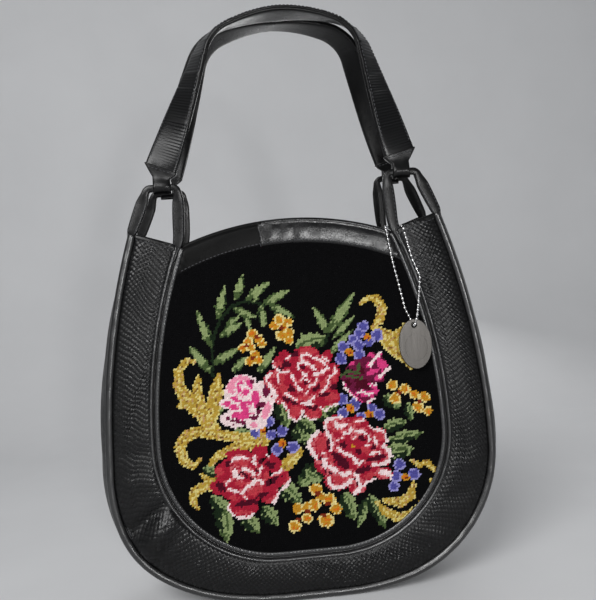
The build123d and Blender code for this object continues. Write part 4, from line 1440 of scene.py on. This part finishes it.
def strap(side):
    """Two layers of a handle, snakeskin outside and plain leather inside, with their seams."""
    back = side == "back"
    body = f"{side}_handle"
    places, face, wide = strap_line(handle_sway[side])
    rows = len(places)
    reach = np.arange(rows) * strap_step
    half_way = np.minimum(reach, reach[-1] - reach)
    across = np.linspace(-0.5, 0.5, strap_columns)
    crown = (1 - np.abs(2 * across) ** 7) ** 0.35
    edge = smooth_step((0.5 - np.abs(across)) / strap_edge_share)
    plate = (half_way / plate_pitch) % 1
    lift = plate_lift * plate**3 * smooth_step((half_way - plate_start) / plate_run)
    crease = crease_depth * np.sin(half_way * 2 * pi / crease_pitch + 3 * np.sin(half_way * 90))
    middle = np.cos(across * pi) ** 0.6
    crease = (crease * smooth_step(half_way / strap_fade))[:, None] * (middle * edge)[None, :]
    plain_top = strap_layer * np.broadcast_to(crown, (rows, strap_columns))
    outer_top = strap_layer * crown[None, :] + lift[:, None] * edge[None, :] + crease
    # On the strap, relief is no height: it paints rows of darker groove shade across the snakeskin, one every
    # crease_pitch
    row_index = np.repeat(reach / crease_pitch, strap_columns + 2)
    relief = 0.55 + 0.45 * np.sin(row_index * 2 * pi)
    tone = 0.5 + 0.3 * np.sin(row_index * 0.7) * np.sin(row_index * 0.23)
    for label, sign, top, width, material, slot in (
        ("outer", 1, outer_top, strap_width, snakeskin, "snakeskin"),
        ("lining", -1, plain_top, strap_width * lining_width_share, soft_leather, "plain_leather"),
    ):
        aside = wide[:, None, :] * (across * width)[None, :, None]
        upper = places[:, None, :] + aside + face[:, None, :] * (sign * (top + layer_half_gap))[..., None]
        under = [places + wide * width * share + face * sign * layer_half_gap for share in strap_under_shares]
        points = np.concatenate([upper, np.stack(under, axis=1)], axis=1).reshape(-1, 3)
        faces = facing(tube_faces(rows, strap_columns + 2), sign < 0)
        shape = Shape()
        shape.add(points, faces, relief=relief, tone=tone)
        name = f"{body}_{label}"
        piece(f"{name}_strap", shape, material, body, [name], back)
    row = Shape()
    keep = slice(strap_stitch_rows, rows - strap_stitch_rows)
    for share in strap_stitch_shares:
        line = places + wide * strap_width * share + face * (strap_layer * 0.98)
        stitch_row(row, line[keep], face[keep])
    stitches(body, row, body, back)


def end_tab(side, name, hand):
    """Leather folded round the bar of a loop, flaring up to the width of the strap."""
    back = side == "back"
    fold_levels = -tab_outer * np.cos(np.linspace(0, pi / 2, tab_fold_rows))
    levels = np.concatenate([fold_levels, np.linspace(tab_first, tab_height + tab_lap, tab_rows)])
    flare = np.clip((levels - tab_neck) / (tab_height - tab_neck), 0, 1) ** 0.9
    half = tab_neck_half + (strap_width / 2 + tab_spread - tab_neck_half) * flare
    top_half = strap_layer + tab_cover
    fold = np.sqrt(np.maximum(tab_outer**2 - levels**2, tab_least**2))
    flat = tab_outer + (top_half - tab_outer) * smooth_step(levels / tab_neck)
    thick = np.where(levels < 0, fold, flat)
    across, out = rounded(tab_sides, 7)
    lean = atan((strap_centre - shoulder_half - hand * handle_sway[side]) / (shoulder_height - strap_foot))
    points = []
    for level, wide, deep in zip(levels, half, thick):
        dip = tab_dip * np.cos(across * pi / 2) * smooth_step(-level / tab_outer)
        tilt = lean * smooth_step(level / tab_height)
        ripple = tab_ripple * np.sin(across * 9 + level * 400)
        rise = bar_height + level + dip + across * wide * sin(tilt)
        aside = strap_centre + across * wide * cos(tilt)
        points.append(np.column_stack([aside, rise, bar_depth + out * (deep + ripple)]))
    shape = Shape()
    shape.add(np.concatenate(points) * [hand, 1, 1], facing(tube_faces(len(levels), tab_sides), hand > 0))
    piece(f"{name}_leather", shape, soft_leather, f"{side}_handle", [name], back)
    row = Shape()
    spots = tab_stitch_places * strap_width / 2
    rise = bar_height + tab_height - tab_stitch_fall + spots * sin(lean)
    for front in (1, -1):
        level = np.full(len(spots), bar_depth + front * (top_half + tab_stitch_lift))
        line = np.column_stack([hand * (strap_centre + spots), rise, level])
        stitch_row(row, line, outwards(len(spots)) * front)
    stitches(name, row, f"{side}_handle", back)


# Gusset, lining and back panel
gusset_step = 0.003
gusset_inset = 0.003
gusset_columns = 25
gusset_crease = 0.0006
floor_clear = 0.0002
lining_inset = 0.0045
lining_floor = (0.0062, 0.0075)
lining_wall = 0.010
lining_rings = 70
lining_sides = 180
lining_depth_inset = 0.0046
lining_slack = 0.0009
lining_thickness = 0.0006
back_sheet_half = 0.134
back_sheet_foot = 0.034
back_sheet_grid = (90, 100)
back_wave = 0.0005


def gusset_draw(up):
    """Share of the bulge that is left at a height: all of it at the widest, none at the top."""
    return 1 - np.clip((up - widest_height) / (gusset_top - widest_height), 0, 1) ** 2


def gusset():
    """Strip between front and back, down one side, under the base and up the other."""
    places, inward = bowl_path(outer_edge, gusset_clear, gusset_step)
    kept = places[:, 1] < gusset_top
    places, inward = places[kept], inward[kept]
    rim = on_front(np.column_stack([places, np.full(len(places), -gusset_inset)]))
    sides = np.abs(inward[:, 0])
    height = np.clip(places[:, 1] / gusset_top, 0, 1)
    along = np.arange(len(places)) * gusset_step
    lines = []
    for share in np.linspace(-1, 1, gusset_columns):
        swell = cos(share * pi / 2)
        crease = gusset_crease * np.sin(along * 70 + 4 * np.sin(share * 2.4)) * np.sin(height * pi)
        bulge = (gusset_bulge * gusset_draw(places[:, 1]) + crease) * sides * swell
        across = rim[:, 0] + np.sign(rim[:, 0]) * bulge
        up = np.maximum(rim[:, 2] - base_sag * (1 - sides) * swell, floor_clear)
        lines.append(np.column_stack([across, rim[:, 1] * -share, up]))
    shape = Shape()
    shape.add(np.stack(lines[::-1], axis=1).reshape(-1, 3), grid_faces(len(places), gusset_columns))
    replaced = ["gusset"]
    # The gusset takes the duller, darker leather: its darker colour is painted shade
    piece(
        "gusset_leather", shape, shaded_dull_leather, "bag", replaced, thickness=gusset_thickness,
        flat=False,
    )


def lining():
    """Pouch inside the bag: rings stacked from its floor up to its hem."""
    right = bowl_half(outer_edge, lining_inset, outline_step)
    angles = around(lining_sides)
    across, deep_share = rounded(lining_sides, 5)
    rings = []
    for height in (*lining_floor, *np.linspace(lining_wall, lining_top, lining_rings)):
        wide = np.interp(height, right[:, 1], right[:, 0]) + gusset_bulge * gusset_draw(height) * 0.8
        deep = half_depth - height * sin_lean - lining_depth_inset
        slack = lining_slack * np.sin(angles * 9 + height * 60) * np.sin(height / lining_top * pi)
        depth = deep_share * deep * (1 - np.abs(slack) / deep)
        rings.append(np.column_stack([across * wide, depth, np.full(lining_sides, height)]))
    shape = Shape()
    floor = tuple(range(lining_sides - 1, -1, -1))
    shape.add(np.concatenate(rings), [*grid_faces(len(rings), lining_sides, closed=True), floor])
    replaced = ["lining"]
    piece(
        "lining_pouch", shape, lining_cloth, "bag", replaced, thickness=lining_thickness,
        flat=False,
    )


def back_height(places):
    """Canvas swell with soft waves."""
    across, up = places.T
    return canvas_height(places) + back_wave * np.sin(across * 60 + 2 * np.sin(up * 30)) * np.sin(up * 41)


def back_panel():
    """Plain leather panel in the middle of the back."""
    shape = opening_sheet(back_sheet_half, back_sheet_foot, back_sheet_grid, back_height)
    replaced = ["back_centre_panel"]
    piece("back_centre_leather", shape, soft_leather, "bag", replaced, True, sheet_thickness)


# Ball chain
chain_clear = 0.0004
chain_rest = 0.0007
chain_over = 0.0034
tag_thickness = 0.0018
sleeve_wall = 0.0004
hole_rise = 0.0055
strand_aside = 0.00275
pin_radius = 0.0004
bead_rings = 7
bead_sides = 10
bead_side_way = (0.3, 0.2, 0.9)


def chain_route():
    """Centres of the beads, round the foot of a loop and through the hole of the tag."""
    behind = chain_rest + chain_clear + bead_radius
    tag_back = behind + bead_radius + chain_clear
    before = tag_back + tag_thickness + chain_clear + bead_radius
    over = chain_over + chain_clear + bead_radius
    sleeve = bead_radius + chain_clear / 2 + sleeve_wall
    left = inner_leg_foot - leg_width / 2 - bead_radius - chain_clear
    right = inner_leg_foot + leg_width / 2 + bead_radius + chain_clear
    top = float(mouth_height(right)) + sleeve + chain_clear
    back = -sleeve - chain_clear
    down = from_photo(right_strand_px)
    up = from_photo(left_strand_px)[::-1]
    hole = from_photo([tag_hole_px])[0]
    above = hole[1] + hole_rise + bead_radius
    route = [
        (left, top, back), (right, top, back), (right + bead_radius, top - bead_radius, over - bead_radius),
        *[(*place, over) for place in down], (hole[0] + strand_aside, above, before), (*hole, before),
        (*hole, behind), (hole[0] - strand_aside, above, behind), *[(*place, over) for place in up],
        (left - bead_radius, top - bead_radius, over - bead_radius), (left, top, back),
    ]
    return evenly(np.array(route), bead_pitch)


def ball_chain():
    """Beads of the chain, and the pins between them."""
    route = chain_route()
    latitudes = np.linspace(-pi / 2, pi / 2, bead_rings)[1:-1]
    shape = Shape()
    for first, last in zip(route, route[1:]):
        run = unit(last - first)
        other = unit(np.cross(run, bead_side_way))
        third = np.cross(run, other)
        spokes = [other * cos(angle) + third * sin(angle) for angle in around(bead_sides)]
        ways = [run * sin(lat) + cos(lat) * spoke for lat in latitudes for spoke in spokes]
        shape.add(first + bead_radius * np.array(ways), tube_faces(len(latitudes), bead_sides))
        pin = [spot + pin_radius * spoke for spot in (first, last) for spoke in spokes]
        shape.add(np.array(pin), tube_faces(2, bead_sides))
    piece("ball_chain_beads", shape, chain_steel, "chain", ["ball_chain"])


# All the pieces; the rows of bands are two ends, how proud it lies, back or not, wrinkle and material
top_bands = {
    # The left band takes the duller, darker leather: its darker colour is painted shade
    "front_top_band_left": (-band_end, band_seam + band_lap, 0.0009, False, 0.00004, shaded_dull_leather),
    "front_top_band_right": (band_seam, band_end, 0.0018, False, 0.00022, plain_leather),
    "back_top_band": (-band_end, band_end, 0.0012, True, 0.00008, plain_leather),
}
finishes = {
    "hang_tag": tag_steel, "chain_connector": chain_steel, "snap_socket": snap_metal, "snap_stud": snap_metal,
}
for side in ("front", "back"):
    surround(side)
    binding(side, "outer", outer_edge, outer_section, outer_stitch_inset, outer_stitch_height)
    binding(side, "inner", inner_edge, inner_section, inner_stitch_inset, inner_stitch_height)
    for hand, sign in (("right", 1), ("left", -1)):
        loop(f"{side}_{hand}_loop", sign, side == "back")
        edge_strip(f"{side}_{hand}_edge_strip", sign, side == "back")
        end_tab(side, f"{side}_handle_{hand}_tab", sign)
    strap(side)
needlepoint()
for name, row in top_bands.items():
    top_band(name, *row)
back_panel()
gusset()
lining()
ball_chain()
for name, finish in finishes.items():
    made = frame["nodes"][name]
    made.data.materials.clear()
    made.data.materials.append(finish)


# Stage, lights and camera
floor_reach = 2.6
bend_start = 0.55
bend_radius = 0.45
bend_points = 14
world_colour = (0.82, 0.84, 0.87, 1)
world_strength = 0.20
pale_cloth = ((0.60, 0.605, 0.615), (0.67, 0.675, 0.685))
Lamp = namedtuple("Lamp", "place target size power")
lamps = {
    "key": Lamp(place=(-0.75, -1.35, 1.25), target=(0, 0, 0.28), size=0.9, power=26),
    "flash": Lamp(place=(0.20, -1.20, 0.36), target=(0, 0, 0.25), size=0.10, power=4.5),
    "back": Lamp(place=(0.30, 0.85, 0.50), target=(0, 0, 0.30), size=0.5, power=2.2),
    "side": Lamp(place=(1.30, 0.02, 0.45), target=(0, 0, 0.30), size=0.5, power=1.2),
}


def backdrop():
    """Floor that bends up into a wall behind the bag."""
    bend = [
        (bend_start + bend_radius * sin(angle), bend_radius - bend_radius * cos(angle))
        for angle in np.linspace(0, pi / 2, bend_points)
    ]
    profile = [(-floor_reach, 0), (bend_start, 0), *bend, (bend_start + bend_radius, floor_reach)]
    points = [(side, depth, height) for depth, height in profile for side in (-floor_reach, floor_reach)]
    mesh = bpy.data.meshes.new("backdrop")
    mesh.from_pydata(points, [], grid_faces(len(profile), 2))
    mesh.shade_smooth()
    made, tree, cloth = shader("backdrop")
    tree.links.new(blend_colours(tree, noise(tree, 6.0, 3.0), *pale_cloth), cloth.inputs["Base Color"])
    cloth.inputs["Roughness"].default_value = 0.95
    cloth.inputs["Specular IOR Level"].default_value = 0.1
    mesh.materials.append(made)
    made = bpy.data.objects.new("backdrop", mesh)
    bpy.context.scene.collection.objects.link(made)


def lamp(name, row):
    """Square lamp that the camera doesn't see."""
    light = bpy.data.lights.new(name, "AREA")
    light.size = row.size
    light.energy = row.power
    made = bpy.data.objects.new(name, light)
    made.location = row.place
    made.visible_camera = False
    made.rotation_mode = "QUATERNION"
    made.rotation_quaternion = (Vector(row.target) - Vector(row.place)).to_track_quat("-Z", "Y")
    bpy.context.scene.collection.objects.link(made)


def camera():
    """Camera where the photograph was taken from."""
    place, axes = camera_pose()
    view = bpy.data.cameras.new("camera")
    view.sensor_width = sensor
    view.lens = sensor * camera_distance / (max(photo_size_px) * photo_scale)
    made = bpy.data.objects.new("camera", view)
    made.rotation_mode = "QUATERNION"
    made.rotation_quaternion = axes.to_quaternion()
    made.location = place
    bpy.context.scene.collection.objects.link(made)
    bpy.context.scene.camera = made


backdrop()
for name, row in lamps.items():
    lamp(name, row)
world = bpy.data.worlds.new("studio")
world.use_nodes = True
sky = world.node_tree.nodes["Background"]
sky.inputs["Color"].default_value = world_colour
sky.inputs["Strength"].default_value = world_strength
bpy.context.scene.world = world
bpy.context.scene.view_settings.view_transform = "Standard"
camera()
